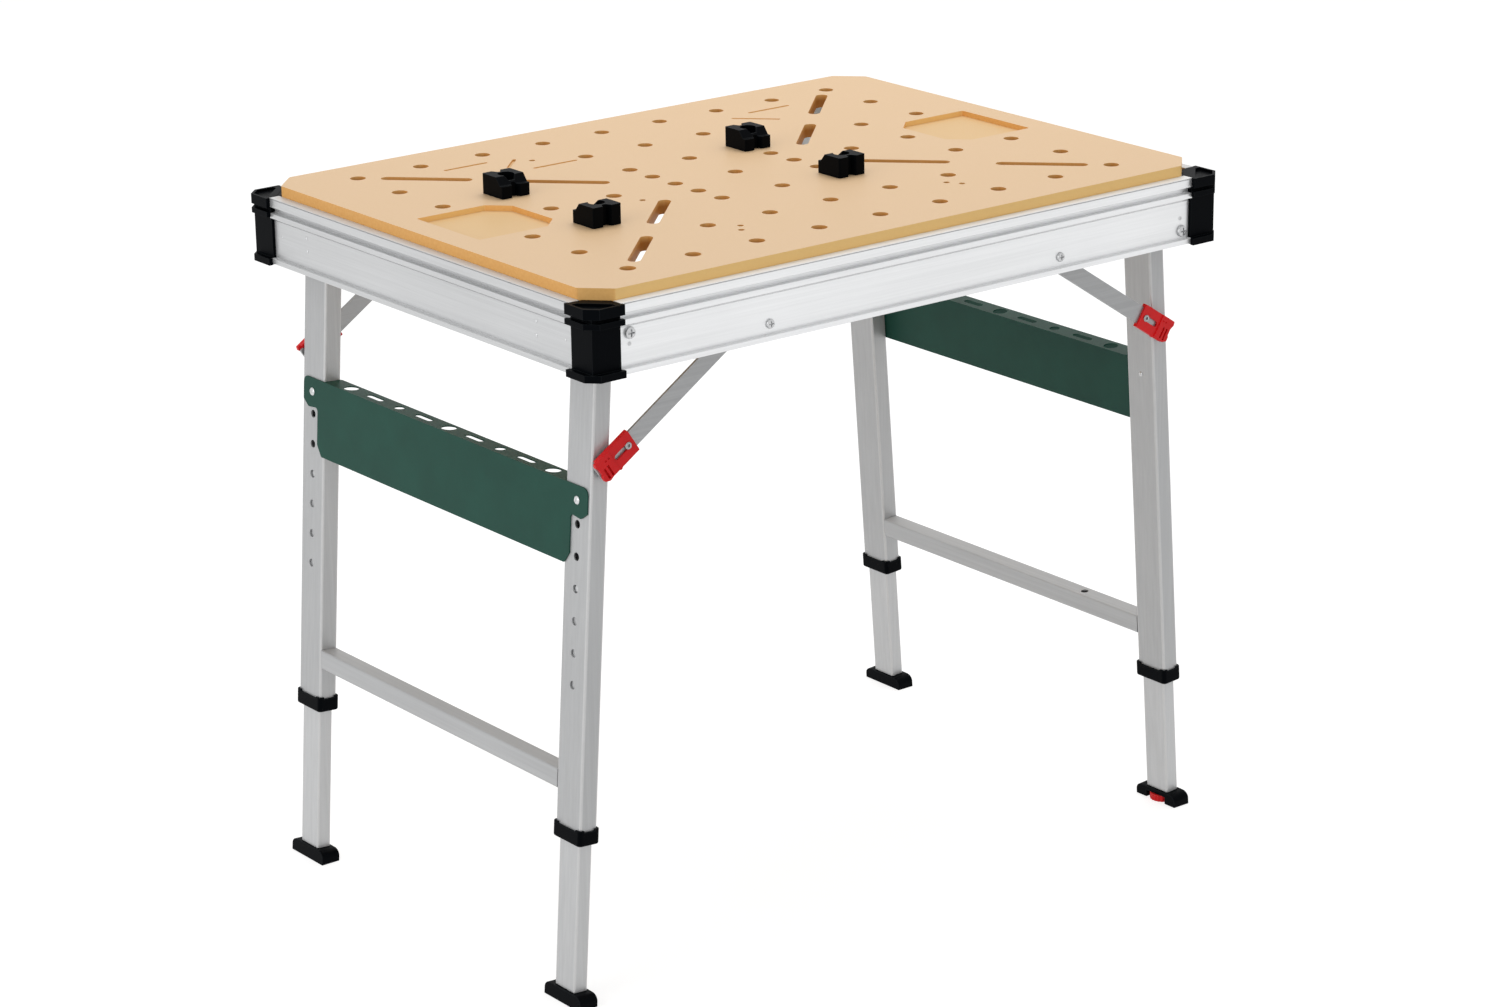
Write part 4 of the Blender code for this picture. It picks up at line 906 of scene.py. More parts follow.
# %% Leg frame
SPLAY = math.radians(4.0)
LEG_X_AT_FRAME = 440.4 * MM
LEG_Y = 289 * MM
HINGE_HEIGHT = {"left": 851 * MM, "right": 821 * MM}


def hinge_x(side):
    return LEG_X_AT_FRAME + math.tan(SPLAY) * (FRAME_BOTTOM - HINGE_HEIGHT[side])


def down_leg(side, height):
    """A height above the floor as a place on the leg's own Z axis."""
    return -(HINGE_HEIGHT[side] - height) / math.cos(SPLAY)


def leg_matrix(side, sy=0, height=None):
    """From upright with the origin at the hinge, or at a height above the floor, to the leg's place."""
    hinge = shift(SIGN[side] * hinge_x(side), sy * LEG_Y, HINGE_HEIGHT[side])
    lean = Matrix.Rotation(-SIGN[side] * SPLAY, 4, "Y")
    return hinge @ lean @ shift(0, 0, 0 if height is None else down_leg(side, height))


print("hinges, mm from the middle:", {side: round(hinge_x(side) / MM, 1) for side in SIGN})

# %% Drilled tube tree
def build_drill_tree():
    inputs = {"Tube": GEOMETRY, "Count": INTEGER, "Pitch": FLOAT, "Radius": FLOAT, "First Hole": VECTOR,
              "Depth": FLOAT, "Finish": MATERIAL}
    tree, sent, wanted = new_group("row of drilled holes", "GeometryNodeTree", inputs, {"Tube": GEOMETRY})
    step = output(tree, "ShaderNodeCombineXYZ", {"Z": sent["Pitch"]})
    row = output(tree, "GeometryNodeMeshLine", {"Count": sent["Count"], "Start Location": sent["First Hole"],
                                                "Offset": step}, mode="OFFSET")
    drill = output(tree, "GeometryNodeMeshCylinder", {"Vertices": 28, "Radius": sent["Radius"],
                                                      "Depth": sent["Depth"]})
    lying = output(tree, "FunctionNodeEulerToRotation", {"Euler": (0.0, math.pi / 2, 0.0)})
    drills = output(tree, "GeometryNodeInstanceOnPoints", {"Points": row, "Instance": drill,
                                                           "Rotation": lying})
    solid = output(tree, "GeometryNodeRealizeInstances", {"Geometry": drills})
    drilled = cut_away(tree, sent["Tube"], solid)
    return send_out(tree, drilled, sent["Finish"], wanted["Tube"])


DRILL = build_drill_tree()
print("drill tree:", len(DRILL.nodes), "nodes")

# %% Upper and inner legs
UPPER_LEG = (25 * MM, 50 * MM)
UPPER_SECTION = (2.8 * MM, 1.8 * MM)   # corner radius and wall
INNER_LEG = (20 * MM, 40 * MM)
INNER_SECTION = (2.5 * MM, 1.6 * MM)
LOWER = {"left": 0.0, "right": 28.5 * MM}
UPPER_LEG_TOP = 14 * MM                # above the hinge
UPPER_LEG_BOTTOM, INNER_LEG_TOP, BUTTON_HEIGHT, CROSSBAR_HEIGHT = (
    {side: height * MM - lower for side, lower in LOWER.items()} for height in (212.5, 592, 525.5, 281))
HEIGHT_PITCH = 40 * MM
HEIGHT_RADIUS = 5.2 * MM
BUTTON_HOLE_RADIUS = 5 * MM
WINDOW_RADIUS = 8 * MM                 # so that the hole above the button looks black
DRILL_DEPTH = 8 * MM
FOOT_HEIGHT = 17 * MM


def tube(size, section, low, high):
    """A rectangular tube along Z, open at both ends, with the sharpness taken off its rims."""
    (width, depth), (radius, wall) = size, section
    rim = 0.3 * MM
    outer = rounded(width, depth, radius)
    trimmed = rounded(width - 2 * rim, depth - 2 * rim, radius - rim)
    inner = rounded(width - 2 * wall, depth - 2 * wall, max(radius - wall, 0.5 * MM))
    return stack([(outer, low + rim), (outer, high - rim), (trimmed, high), (inner, high), (inner, low),
                  (trimmed, low)], ring=True)


def mark_corner_highlights(piece, size):
    """Marks the round corners of an upright tube for a painted highlight."""
    near = 2.9 * MM
    mesh = piece.data
    marks = mesh.attributes.new(EDGE_MARK, "FLOAT", "FACE")
    for face, mark in zip(mesh.polygons, marks.data):
        outside = abs(face.center.x) > size[0] / 2 - near and abs(face.center.y) > size[1] / 2 - near
        mark.value = float(outside and abs(face.normal.z) < 0.1)


def make_leg(name, mesh, size, count, radius, first, metal, window=None):
    """A tube with a row of holes in its outer side, and perhaps a window cut after them."""
    values = {"Count": count, "Pitch": HEIGHT_PITCH, "Radius": radius, "Depth": DRILL_DEPTH,
              "First Hole": first, "Finish": metal}
    leg = grow(name, DRILL, values, mesh)
    if window:
        cut(leg, window)
    # The tube's round corners get a painted highlight.
    mark_corner_highlights(leg, size)
    return leg


def make_legs(name, side, sx, sy):
    matrix = leg_matrix(side, sy)
    button = down_leg(side, BUTTON_HEIGHT[side])
    outer = tube(UPPER_LEG, UPPER_SECTION, down_leg(side, UPPER_LEG_BOTTOM[side]), UPPER_LEG_TOP)
    first = (sx * UPPER_LEG[0] / 2, 0.0, button - 3 * HEIGHT_PITCH)
    leg = make_leg("leg_tube_" + name, outer, UPPER_LEG, 6, HEIGHT_RADIUS, first, LEG_METAL)
    dress(leg, matrix, side + "_legs", "upper_leg_" + name)
    bottom = down_leg(side, FOOT_HEIGHT) + GAP
    inner = tube(INNER_LEG, INNER_SECTION, bottom, down_leg(side, INNER_LEG_TOP[side]))
    window = turned([(WINDOW_RADIUS, 0), (WINDOW_RADIUS, sx * INNER_LEG[0])], "X", sides=28)
    place(window, shift(0, 0, button + HEIGHT_PITCH))
    first = (sx * INNER_LEG[0] / 2, 0.0, button)
    leg = make_leg("sliding_tube_" + name, inner, INNER_LEG, 1, BUTTON_HOLE_RADIUS, first, INNER_METAL,
                   window)
    dress(leg, matrix, "inner_leg_" + name, "inner_leg_" + name)


for corner in CORNERS:
    make_legs(*corner)
print("legs: 4 outer and 4 inner tubes")

# %% [markdown]
# ### Collars and feet
# The collar is a band that closes the outer tube round the inner one: straight at the bottom, with a top
# edge that dips between raised corners. The foot is a rubbery shoe with round shoulders, cut level with the
# floor although the leg leans.

# %% Collars
COLLAR_DROP = 3.5 * MM
COLLAR_HEIGHT = 20 * MM
COLLAR_DIP = 2.4 * MM
COLLAR_MIDDLE = (6 * MM, 5 * MM)       # how much wider than the tube, and corner radius
COLLAR_RIM = (4.6 * MM, 4.4 * MM)
COLLAR_LINING = (2 * GAP, 2.5 * MM)
COLLAR_POST = (5 * MM, 7 * MM)         # what the dips leave at each corner, along x and y


def make_collar(name, side, sx, sy):
    def around(size, wider, radius):
        return rounded(size[0] + wider, size[1] + wider, radius)
    middle, rim = around(UPPER_LEG, *COLLAR_MIDDLE), around(UPPER_LEG, *COLLAR_RIM)
    seat, guide = around(UPPER_LEG, *COLLAR_LINING), around(INNER_LEG, *COLLAR_LINING)
    bottom = down_leg(side, UPPER_LEG_BOTTOM[side] - COLLAR_DROP)
    top = bottom + COLLAR_HEIGHT
    lip = down_leg(side, UPPER_LEG_BOTTOM[side]) - GAP
    mesh = stack([(rim, bottom), (middle, bottom + 2 * MM), (middle, top - 1 * MM), (rim, top), (seat, top),
                  (seat, lip), (guide, lip), (guide, bottom)], ring=True)
    collar = show("collar_" + name, mesh, BLACK_PLASTIC)
    dip = (top - COLLAR_DIP, top + COLLAR_DIP)
    width, depth = UPPER_LEG
    x, y = width / 2 - COLLAR_POST[0], depth / 2 - COLLAR_POST[1]
    cut(collar, box((-width, width), (-y, y), dip), box((-x, x), (-depth, depth), dip))
    round_off(collar, 0.7 * MM, 50)
    dress(collar, leg_matrix(side, sy), side + "_legs", "leg_collar_" + name)


for corner in CORNERS:
    make_collar(*corner)
print("collars:", len(CORNERS))

# %% Feet and the levelling wheel
FOOT_THICKNESS = 27 * MM
FOOT_WIDTH = 74 * MM
FOOT_SHOULDER = (11 * MM, 9 * MM)
WHEEL_RADIUS = 17 * MM
WHEEL_THICKNESS = 9 * MM
WHEEL_OFF_FLOOR = 0.6 * MM
WHEEL_NOTCHES = 20
NOTCH_DEPTHS = (0.9 * MM, 0.25 * MM, 0.0, 0.25 * MM)    # round each notch
WHEEL_PIN = (3 * MM, 8 * MM)


def level_matrix(side, height):
    """Turns a mesh that is level with the floor to its place in the upright leg."""
    return shift(0, 0, down_leg(side, height)) @ Matrix.Rotation(SIGN[side] * SPLAY, 4, "Y")


def make_foot(name, side, sx, sy):
    top = down_leg(side, FOOT_HEIGHT)
    half, thick = FOOT_WIDTH / 2, FOOT_THICKNESS / 2
    across, up = FOOT_SHOULDER
    shoulder = [(half - across + across * y, top - up + up * z) for y, z in arc((0, 0), 1.0, 0, 90, 8)]
    right_half = [(half, down_leg(side, 0) - thick), *shoulder]
    outline = right_half + [(-y, z) for y, z in right_half[::-1]]
    foot = show("shoe_" + name, prism(outline, -thick, thick, "X"), BLACK_PLASTIC)
    under = box((-half, half), (-FOOT_WIDTH, FOOT_WIDTH), (-FOOT_WIDTH, 0))
    cut(foot, place(under, level_matrix(side, 0)))
    if name == "front_right":
        reach = WHEEL_RADIUS + 2 * GAP
        recess = box((-2 * thick, 2 * thick), (-reach, reach), (-FOOT_HEIGHT, WHEEL_THICKNESS / 2 + GAP))
        cut(foot, place(recess, level_matrix(side, WHEEL_OFF_FLOOR + WHEEL_THICKNESS / 2)))
    round_off(foot, 0.8 * MM, 40)
    dress(foot, leg_matrix(side, sy), "inner_leg_" + name, "foot_" + name)


def make_wheel(side, sy):
    """The wheel's rim is a ring of finger notches."""
    outline = []
    for i in range(WHEEL_NOTCHES * 4):
        angle = 2 * math.pi * i / (WHEEL_NOTCHES * 4)
        radius = WHEEL_RADIUS - NOTCH_DEPTHS[i % 4]
        outline.append((radius * math.cos(angle), radius * math.sin(angle)))
    half = WHEEL_THICKNESS / 2
    wheel = show("thumb_wheel", prism(outline, -half, half), RED_PLASTIC)
    join(wheel, turned([(WHEEL_PIN[0], 0), (WHEEL_PIN[0], half + WHEEL_PIN[1])]))
    round_off(wheel, 0.5 * MM, 50)
    matrix = leg_matrix(side, sy) @ level_matrix(side, WHEEL_OFF_FLOOR + half)
    dress(wheel, matrix, "levelling_wheel", "levelling_wheel")


for corner in CORNERS:
    make_foot(*corner)
make_wheel("right", -1)
print("feet:", len(CORNERS), "and a wheel with", WHEEL_NOTCHES, "notches")

# %% [markdown]
# ### Crossbars and tool panels
# A square tube ties each pair of legs, and above it a green sheet is riveted to the legs. The sheet's face
# is one outline drawn out to its thickness. Its shelf is a second plate joined on, the tool holes are cut
# through it, and all edges are rounded last.

# %% Crossbars
CROSSBAR = (25 * MM, 25 * MM)
CROSSBAR_SECTION = (2.5 * MM, 1.8 * MM)
BAR_HOLE_PLACE = 148 * MM              # along the right bar, towards the front
BAR_HOLE_RADIUS = 5.3 * MM


def make_crossbar(side):
    half = LEG_Y - UPPER_LEG[1] / 2 - GAP
    bar = show("tie_bar_" + side, tube(CROSSBAR, CROSSBAR_SECTION, -half, half), BAR_METAL)
    if side == "right":
        drill = turned([(BAR_HOLE_RADIUS, 0), (BAR_HOLE_RADIUS, 30 * MM)], sides=24)
        cut(bar, place(drill, shift(0, 0, BAR_HOLE_PLACE) @ Matrix.Rotation(-math.pi / 2, 4, "X")))
    matrix = leg_matrix(side, 0, CROSSBAR_HEIGHT[side]) @ Matrix.Rotation(math.pi / 2, 4, "X")
    dress(bar, matrix, side + "_legs", "crossbar_" + side)


for side in SIGN:
    make_crossbar(side)
print("crossbars:", len(SIGN))

# %% Tool panels
PANEL_TOP = {"left": 653 * MM, "right": 634.5 * MM}
PANEL_SHEET = 1.5 * MM
PANEL_SHELF = 26 * MM
PANEL_KINDS = ["round", "slot", "small", "slot", "round", "slot", "small", "slot", "round"]
PANEL_RADIUS = {"round": 10 * MM, "small": 7 * MM}
PANEL_SLOT = (35 * MM, 9 * MM)
PANEL_PITCH = 55 * MM
PANEL_HALF = 276.5                     # the face's half length between the legs, in millimetres
PANEL_EAR = 309.5                      # and over its ears


def panel_outline():
    """The panel's face as (y, height below its top), with rounded ears and cut lower corners."""
    corners = in_mm([(PANEL_HALF - 10, -100), (PANEL_HALF, -86), (PANEL_HALF, -37), (PANEL_EAR - 12, -39.5),
                     (PANEL_EAR, -31), (PANEL_EAR, 0)])
    sizes = [3 * MM, 3 * MM, 5 * MM, 6 * MM, 3 * MM, 9 * MM]
    return soften(corners + [(-a, b) for a, b in corners[::-1]], sizes + sizes[::-1], 5)


def make_panel(side):
    sign = SIGN[side]
    seat = UPPER_LEG[0] / 2 + GAP
    # the outline's first axis becomes Y, its second Z, and its thickness X, outwards from the leg
    turn = Matrix(((0, 0, sign, 0), (1, 0, 0, 0), (0, 1, 0, 0), (0, 0, 0, 1)))
    face = place(prism(panel_outline(), 0, PANEL_SHEET), shift(sign * seat, 0, 0) @ turn)
    panel = show("tool_sheet_" + side, face, GREEN_COAT)
    reach = LEG_Y - UPPER_LEG[1] / 2 - 2 * GAP
    middle = seat - PANEL_SHELF / 2 + PANEL_SHEET / 2
    shelf = [(sign * middle + a, b) for a, b in rounded(PANEL_SHELF + PANEL_SHEET, 2 * reach, 3 * MM)]
    join(panel, prism(shelf, -PANEL_SHEET, 0))
    centre = sign * (seat - PANEL_SHELF / 2)
    cutters = []
    for i, kind in enumerate(PANEL_KINDS):
        spot = (centre, (len(PANEL_KINDS) // 2 - i) * PANEL_PITCH)
        if kind == "slot":
            outline = slot_outline(spot, 90, *PANEL_SLOT)
        else:
            outline = arc(spot, PANEL_RADIUS[kind], 0, 348.75, 31)
        cutters.append(prism(outline, -10 * MM, 10 * MM))
    cut(panel, merge(cutters))
    round_off(panel, 0.5 * MM, 40)
    dress(panel, leg_matrix(side, 0, PANEL_TOP[side]), side + "_legs", "tool_panel_" + side)


for side in SIGN:
    make_panel(side)
print("panels: 2 with", len(PANEL_KINDS), "tool holes each")

# %% [markdown]
# ## Struts and locks
# A flat bar runs from the frame down to each leg and hooks over a bolt. The red slider covers the hook so
# that it can't jump off. Both are built along a plain axis from the strut's pivot and turned down to the
# leg together.

# %% Struts
STRUT_ANGLE = math.radians(33.4)
STRUT_PIVOT = (231 * MM, 823 * MM)
STRUT_IN = LEG_Y + UPPER_LEG[1] / 2 + 3.5 * MM
STRUT_OUT = STRUT_IN + 3.5 * MM
STRUT_HALF = 11.5 * MM
BOLT_HOLE_RADIUS = 4.3 * MM
STRUT_END = 10 * MM                    # past the hook
NOTCH_SLOPE = 5 * MM
STUD_PLACE = 40 * MM                   # before the hook
STUD_HEAD = in_mm([(2.5, 0), (4.6, 0), (4.6, 0.6), (4.0, 1.3), (2.6, 1.6), (2.1, 1.2), (1.9, -1.4)])
LOCK_PLATE = 2.8 * MM


def hook_place():
    """Where the strut's line crosses the leg's: its length and the height above the floor."""
    lean = math.tan(SPLAY)
    across = LEG_X_AT_FRAME + lean * (FRAME_BOTTOM - STRUT_PIVOT[1]) - STRUT_PIVOT[0]
    drop = across / (1 / math.tan(STRUT_ANGLE) - lean)
    return drop / math.sin(STRUT_ANGLE), STRUT_PIVOT[1] - drop


HOOK, HOOK_HEIGHT = hook_place()


def strut_matrix(side, sy):
    """Takes (length along the strut, height above its line, distance out) to its place on the bench."""
    sign = SIGN[side]
    turn = shift(sign * STRUT_PIVOT[0], 0, STRUT_PIVOT[1]) @ Matrix.Rotation(sign * STRUT_ANGLE, 4, "Y")
    return turn @ Matrix(((sign, 0, 0, 0), (0, 0, sy, 0), (0, 1, 0, 0), (0, 0, 0, 1)))


def make_strut(name, side, sx, sy):
    half, notch = STRUT_HALF, BOLT_HOLE_RADIUS
    end = HOOK + STRUT_END
    outline = arc((0, 0), half, 90, 270, 16)
    outline += arc((end - 3 * MM, -half + 3 * MM), 3 * MM, -90, 0, 4)
    outline += arc((end - 2 * MM, half - 2 * MM), 2 * MM, 0, 90, 4)
    outline += [(HOOK + notch, half)] + arc((HOOK, 0), notch, 0, -180, 12)
    outline += [(HOOK - notch - NOTCH_SLOPE, half)]
    strut = show("flat_bar_" + name, prism(outline, STRUT_IN, STRUT_OUT), STRUT_METAL)
    cut(strut, turned([(BOLT_HOLE_RADIUS, STRUT_IN - GAP), (BOLT_HOLE_RADIUS, STRUT_OUT + GAP)]))
    base = STRUT_OUT + LOCK_PLATE + 2 * GAP
    stud = [(STUD_HEAD[0][0], STRUT_IN + 1 * MM)] + [(radius, base + above) for radius, above in STUD_HEAD]
    join(strut, place(turned(stud, sides=28), shift(HOOK - STUD_PLACE, 0, 0)))
    round_off(strut, 0.4 * MM, 40)
    dress(strut, strut_matrix(side, sy), "strut_" + name, "strut_" + name)


# %% Red locks
# outlines are (along, up) in millimetres from the hook, in the direction of the strut
LOCK_START = -49.5
LOCK_HALF = 15.85
LOCK_INSIDE = 11.8
LOCK_END = [(3, -15.8), (9.5, -12), (9.5, -6.5), (7.6, -3.5), (7.6, 5), (10.4, 11), (9, LOCK_HALF)]
LOCK_PLATE_OUTLINE = [(LOCK_START, LOCK_HALF), (LOCK_START, -LOCK_HALF), (-20, -LOCK_HALF), (-17, -17.6),
                      (-12, -14.6), (-3, -14.6)] + LOCK_END
# the raised part starts where the guide stud still clears it when the lock is slid open
LOCK_THUMB = [(-14, LOCK_HALF), (-14, -14.6), (-3, -14.6)] + LOCK_END
LOCK_END_RADII = [1.2 * MM] * len(LOCK_END)
LOCK_FLANGES = (((LOCK_START, 3), (-LOCK_HALF, -LOCK_INSIDE)), ((LOCK_START, 5), (LOCK_INSIDE, LOCK_HALF)))
LOCK_SLOT = (28 * MM, 7.2 * MM)
LOCK_SLOT_CENTRE = 31 * MM
LOCK_GRIPS = [(middle, 1.5, -13.2, 2.5) for middle in (-4, 2)]
LOCK_MARKS = [(middle, 1.2, 7.5, 10) for middle in (-10, -5)]
THUMB_HEIGHT = 1.6 * MM
MARK_HEIGHT = 0.6 * MM
CLEAR = 5 * MM                         # how far a cutter goes past a face


def along_hook(points):
    return [(HOOK + a * MM, b * MM) for a, b in points]


def patch(middle, half, low, high):
    """A small rectangle on the lock, for a groove or a mark."""
    start, end = middle - half, middle + half
    return along_hook([(start, low), (end, low), (end, high), (start, high)])


def make_lock(name, side, sx, sy):
    low = STRUT_OUT + GAP
    high = low + LOCK_PLATE
    skin = low + 1 * MM
    radii = [2 * MM, 1 * MM, 0, 1 * MM, 1 * MM, 1 * MM] + LOCK_END_RADII
    outline = soften(along_hook(LOCK_PLATE_OUTLINE), radii, 3)
    lock = show("slider_" + name, prism(outline, low, high), RED_PLASTIC)
    for (start, end), (bottom, top) in LOCK_FLANGES:
        flange = box((HOOK + start * MM, HOOK + end * MM), (bottom * MM, top * MM), (STRUT_IN, skin))
        join(lock, flange)
    thumb = soften(along_hook(LOCK_THUMB), [0, 0, 1 * MM] + LOCK_END_RADII, 3)
    join(lock, prism(thumb, skin, high + THUMB_HEIGHT))
    slot = slot_outline((HOOK - LOCK_SLOT_CENTRE, 0), 0, *LOCK_SLOT)
    cut(lock, prism(slot, STRUT_IN, high + CLEAR))
    cut(lock, *[prism(patch(*grip), skin, high + CLEAR) for grip in LOCK_GRIPS])
    cut(lock, *[prism(patch(*mark), high + MARK_HEIGHT, high + CLEAR) for mark in LOCK_MARKS])
    round_off(lock, 0.45 * MM, 40)
    dress(lock, strut_matrix(side, sy), "lock_" + name, "lock_" + name)


for corner in CORNERS:
    make_strut(*corner)
    make_lock(*corner)
print("struts and locks:", len(CORNERS), "each, hooked", round(HOOK / MM), "mm from the pivot")

# %% [markdown]
# ## Bolts, buttons, rivets and dogs
# Bolts are turned parts: a profile spun round an axis. Nuts, spacers and washers are wider steps of the
# same profile. The screws that show get a head with a cross recess.

# %% Bolts and buttons
RAIL_IN = LIP[1] - WEB_BACK
RAIL_OUT = LIP[1] - WEB_DEPTH
LEG_IN = LEG_Y - UPPER_LEG[1] / 2
LEG_OUT = LEG_Y + UPPER_LEG[1] / 2
HEAD_SEAT = RAIL_OUT + GAP
LEG_NUT, STRUT_NUT, HOOK_NUT, WASHER = 5.5 * MM, 1.6 * MM, 3.5 * MM, 1.9 * MM
# a head's radius and height, and its cross recess's floor and reach, in millimetres
HINGE_HEAD = (7.5, 4.5, 1.6, 4.6)
PIVOT_HEAD = (6, 3, 1, 3.4)
HEAD_SHAPE = ((1, 0), (1, 0.35), (0.9, 0.7), (0.66, 0.92), (0.3, 1))  # shares of radius and height
CROSS_ARM = 0.22                       # half an arm's width as a share of its reach


def stepped(start, *runs):
    """The profile of a shaft in steps, each (radius in millimetres, where it ends)."""
    profile = []
    for radius, end in runs:
        profile += [(radius * MM, start), (radius * MM, end)]
        start = end
    return profile


def make_screw(name, shaft, head_sizes, matrix, node):
    """A shaft along Y with a button head on the rail, and a cross recess in the head."""
    radius, height, cross_floor, cross_reach = [size * MM for size in head_sizes]
    head = [(radius * width, HEAD_SEAT + height * rise) for width, rise in HEAD_SHAPE]
    screw = show(name, turned(shaft + head, "Y"), STEEL)
    floor, arm = HEAD_SEAT + cross_floor, cross_reach * CROSS_ARM
    for x, z in ((cross_reach, arm), (arm, cross_reach)):
        cut(screw, prism([(-x, -z), (x, -z), (x, z), (-x, z)], floor, floor + 20 * MM, "Y"))
    dress(screw, matrix, "bench_top", node)


def make_bolts(name, side, sx, sy):
    mirror = Matrix.Scale(sy, 4, (0, 1, 0))
    shaft = stepped(LEG_IN - GAP - LEG_NUT, (8.5, LEG_IN - GAP), (5, LEG_OUT + GAP), (9, RAIL_IN - GAP),
                    (5, HEAD_SEAT))
    matrix = shift(sx * hinge_x(side), 0, HINGE_HEIGHT[side]) @ mirror
    make_screw("hinge_screw_" + name, shaft, HINGE_HEAD, matrix, "leg_bolt_" + name)
    shaft = stepped(STRUT_IN - GAP - STRUT_NUT, (7, STRUT_IN - GAP), (4, STRUT_OUT + GAP), (7, RAIL_IN - GAP),
                    (4, HEAD_SEAT))
    matrix = shift(sx * STRUT_PIVOT[0], 0, STRUT_PIVOT[1]) @ mirror
    make_screw("pivot_screw_" + name, shaft, PIVOT_HEAD, matrix, "strut_bolt_" + name)
    wall = LEG_OUT - UPPER_SECTION[1]
    washer = LEG_OUT + GAP + WASHER
    shaft = stepped(wall - GAP - HOOK_NUT, (7, wall - GAP), (4, LEG_OUT + GAP), (7, washer), (4, STRUT_OUT))
    stud = show("hook_stud_" + name, turned(shaft, "Y"), STEEL)
    dress(stud, leg_matrix(side, 0, HOOK_HEIGHT) @ mirror, side + "_legs", "hook_bolt_" + name)


def make_button(name, side, sx, sy):
    face = UPPER_LEG[0] / 2 - 2.1 * MM
    wall = INNER_LEG[0] / 2 - 1.9 * MM
    shape = stepped(wall - 1.5 * MM, (6.5, wall), (4.7, face - 0.9 * MM))
    shape += [(4.2 * MM, face - 0.3 * MM), (3.2 * MM, face)]
    button = show("button_" + name, turned(shape, "X"), STEEL)
    matrix = leg_matrix(side, sy, BUTTON_HEIGHT[side]) @ Matrix.Scale(sx, 4, (1, 0, 0))
    dress(button, matrix, "height_button_" + name, "height_button_" + name)


for corner in CORNERS:
    make_bolts(*corner)
    make_button(*corner)
print("turned parts:", 4 * len(CORNERS))

# %% [markdown]
# ### Rivets on points
# Rivets repeat, so one tree sets them all. It gets bare points, each with the way its rivet looks and how
# wide it is, and puts the same domed head on every one. The dome is a profile turned once, and the tree
# only scales it, so a new rivet is one more line in a list.

# %% Rivet tree
def build_rivet_tree():
    inputs = {"Points": GEOMETRY, "Head": OBJECT, "Finish": MATERIAL}
    tree, sent, wanted = new_group("rivets on points", "GeometryNodeTree", inputs, {"Rivets": GEOMETRY})
    facing, radius = [
        output(tree, "GeometryNodeInputNamedAttribute", {"Name": name}, "Attribute", data_type=kind)
        for name, kind in (("facing", "FLOAT_VECTOR"), ("width", "FLOAT"))]
    turn = output(tree, "FunctionNodeAlignRotationToVector", {"Vector": facing}, axis="Z")
    head = shape_of(tree, sent["Head"])
    rivets = output(tree, "GeometryNodeInstanceOnPoints", {"Points": sent["Points"], "Instance": head,
                                                           "Rotation": turn, "Scale": radius})
    return send_out(tree, rivets, sent["Finish"], wanted["Rivets"])


RIVET_TREE = build_rivet_tree()
print("rivet tree:", len(RIVET_TREE.nodes), "nodes")

# %% Set the rivets
RIVET_HEAD = [(0.9, -0.25), (1.0, 0.0), (1.0, 0.1), (0.86, 0.26), (0.55, 0.38), (0.3, 0.4), (0.22, 0.2)]
# on the end rails' webs: y, height and radius, in millimetres
END_RIVETS = [(248.5, 850, 2.5), (248.5, 833, 2.5), (307, 840, 1.7)]
SIDE_RIVET = (437, 837.5, 2.6)         # on the front and back rails' webs: x, height and radius
EAR_RIVET = (18 * MM, 5.2 * MM)        # below the panel's top, and radius
RIVET_TAIL = (20.5 * MM, 3.2 * MM)     # the same on the leg's inner side


def make_rivets(name, body, spots):
    """Rivets on one body. A spot is (place, the way out, radius)."""
    head = show("rivet head", turned(RIVET_HEAD, sides=20))
    points = points_mesh([spot for spot, out, radius in spots])
    points.attributes.new("facing", "FLOAT_VECTOR", "POINT")
    points.attributes.new("width", "FLOAT", "POINT")
    for i, (spot, out, radius) in enumerate(spots):
        points.attributes["facing"].data[i].vector = out
        points.attributes["width"].data[i].value = radius
    rivets = grow(name, RIVET_TREE, {"Head": head, "Finish": RIVET_METAL}, points)
    dress(rivets, IN_PLACE, body, None)
    print(name + ":", len(spots))


spots = []
for sx in (-1, 1):
    for sy in (-1, 1):
        for y, z, radius in END_RIVETS:
            spots.append(((sx * (LIP[0] - WEB_DEPTH), sy * y * MM, z * MM), (sx, 0, 0), radius * MM))
        x, z, radius = SIDE_RIVET
        spots.append(((sx * x * MM, sy * (LIP[1] - WEB_DEPTH), z * MM), (0, sy, 0), radius * MM))
make_rivets("frame_rivets", "bench_top", spots)
for side, sx in SIGN.items():
    seat = UPPER_LEG[0] / 2 + GAP + PANEL_SHEET
    spots = []
    for sy in (-1, 1):
        for reach, (below, radius), way in ((seat, EAR_RIVET, 1), (-UPPER_LEG[0] / 2, RIVET_TAIL, -1)):
            matrix = leg_matrix(side, sy, PANEL_TOP[side] - below)
            out = matrix.to_3x3() @ Vector((way * sx, 0, 0))
            spots.append((matrix @ Vector((sx * reach, 0, 0)), out, radius))
    make_rivets(side + "_leg_rivets", side + "_legs", spots)

# %% [markdown]
# ### Bench dogs
# A bench dog is a moulded block on a peg. Grooves in two sides hold round stock, a bore and a notch save
# plastic on top, and one side slopes down to a ledge.

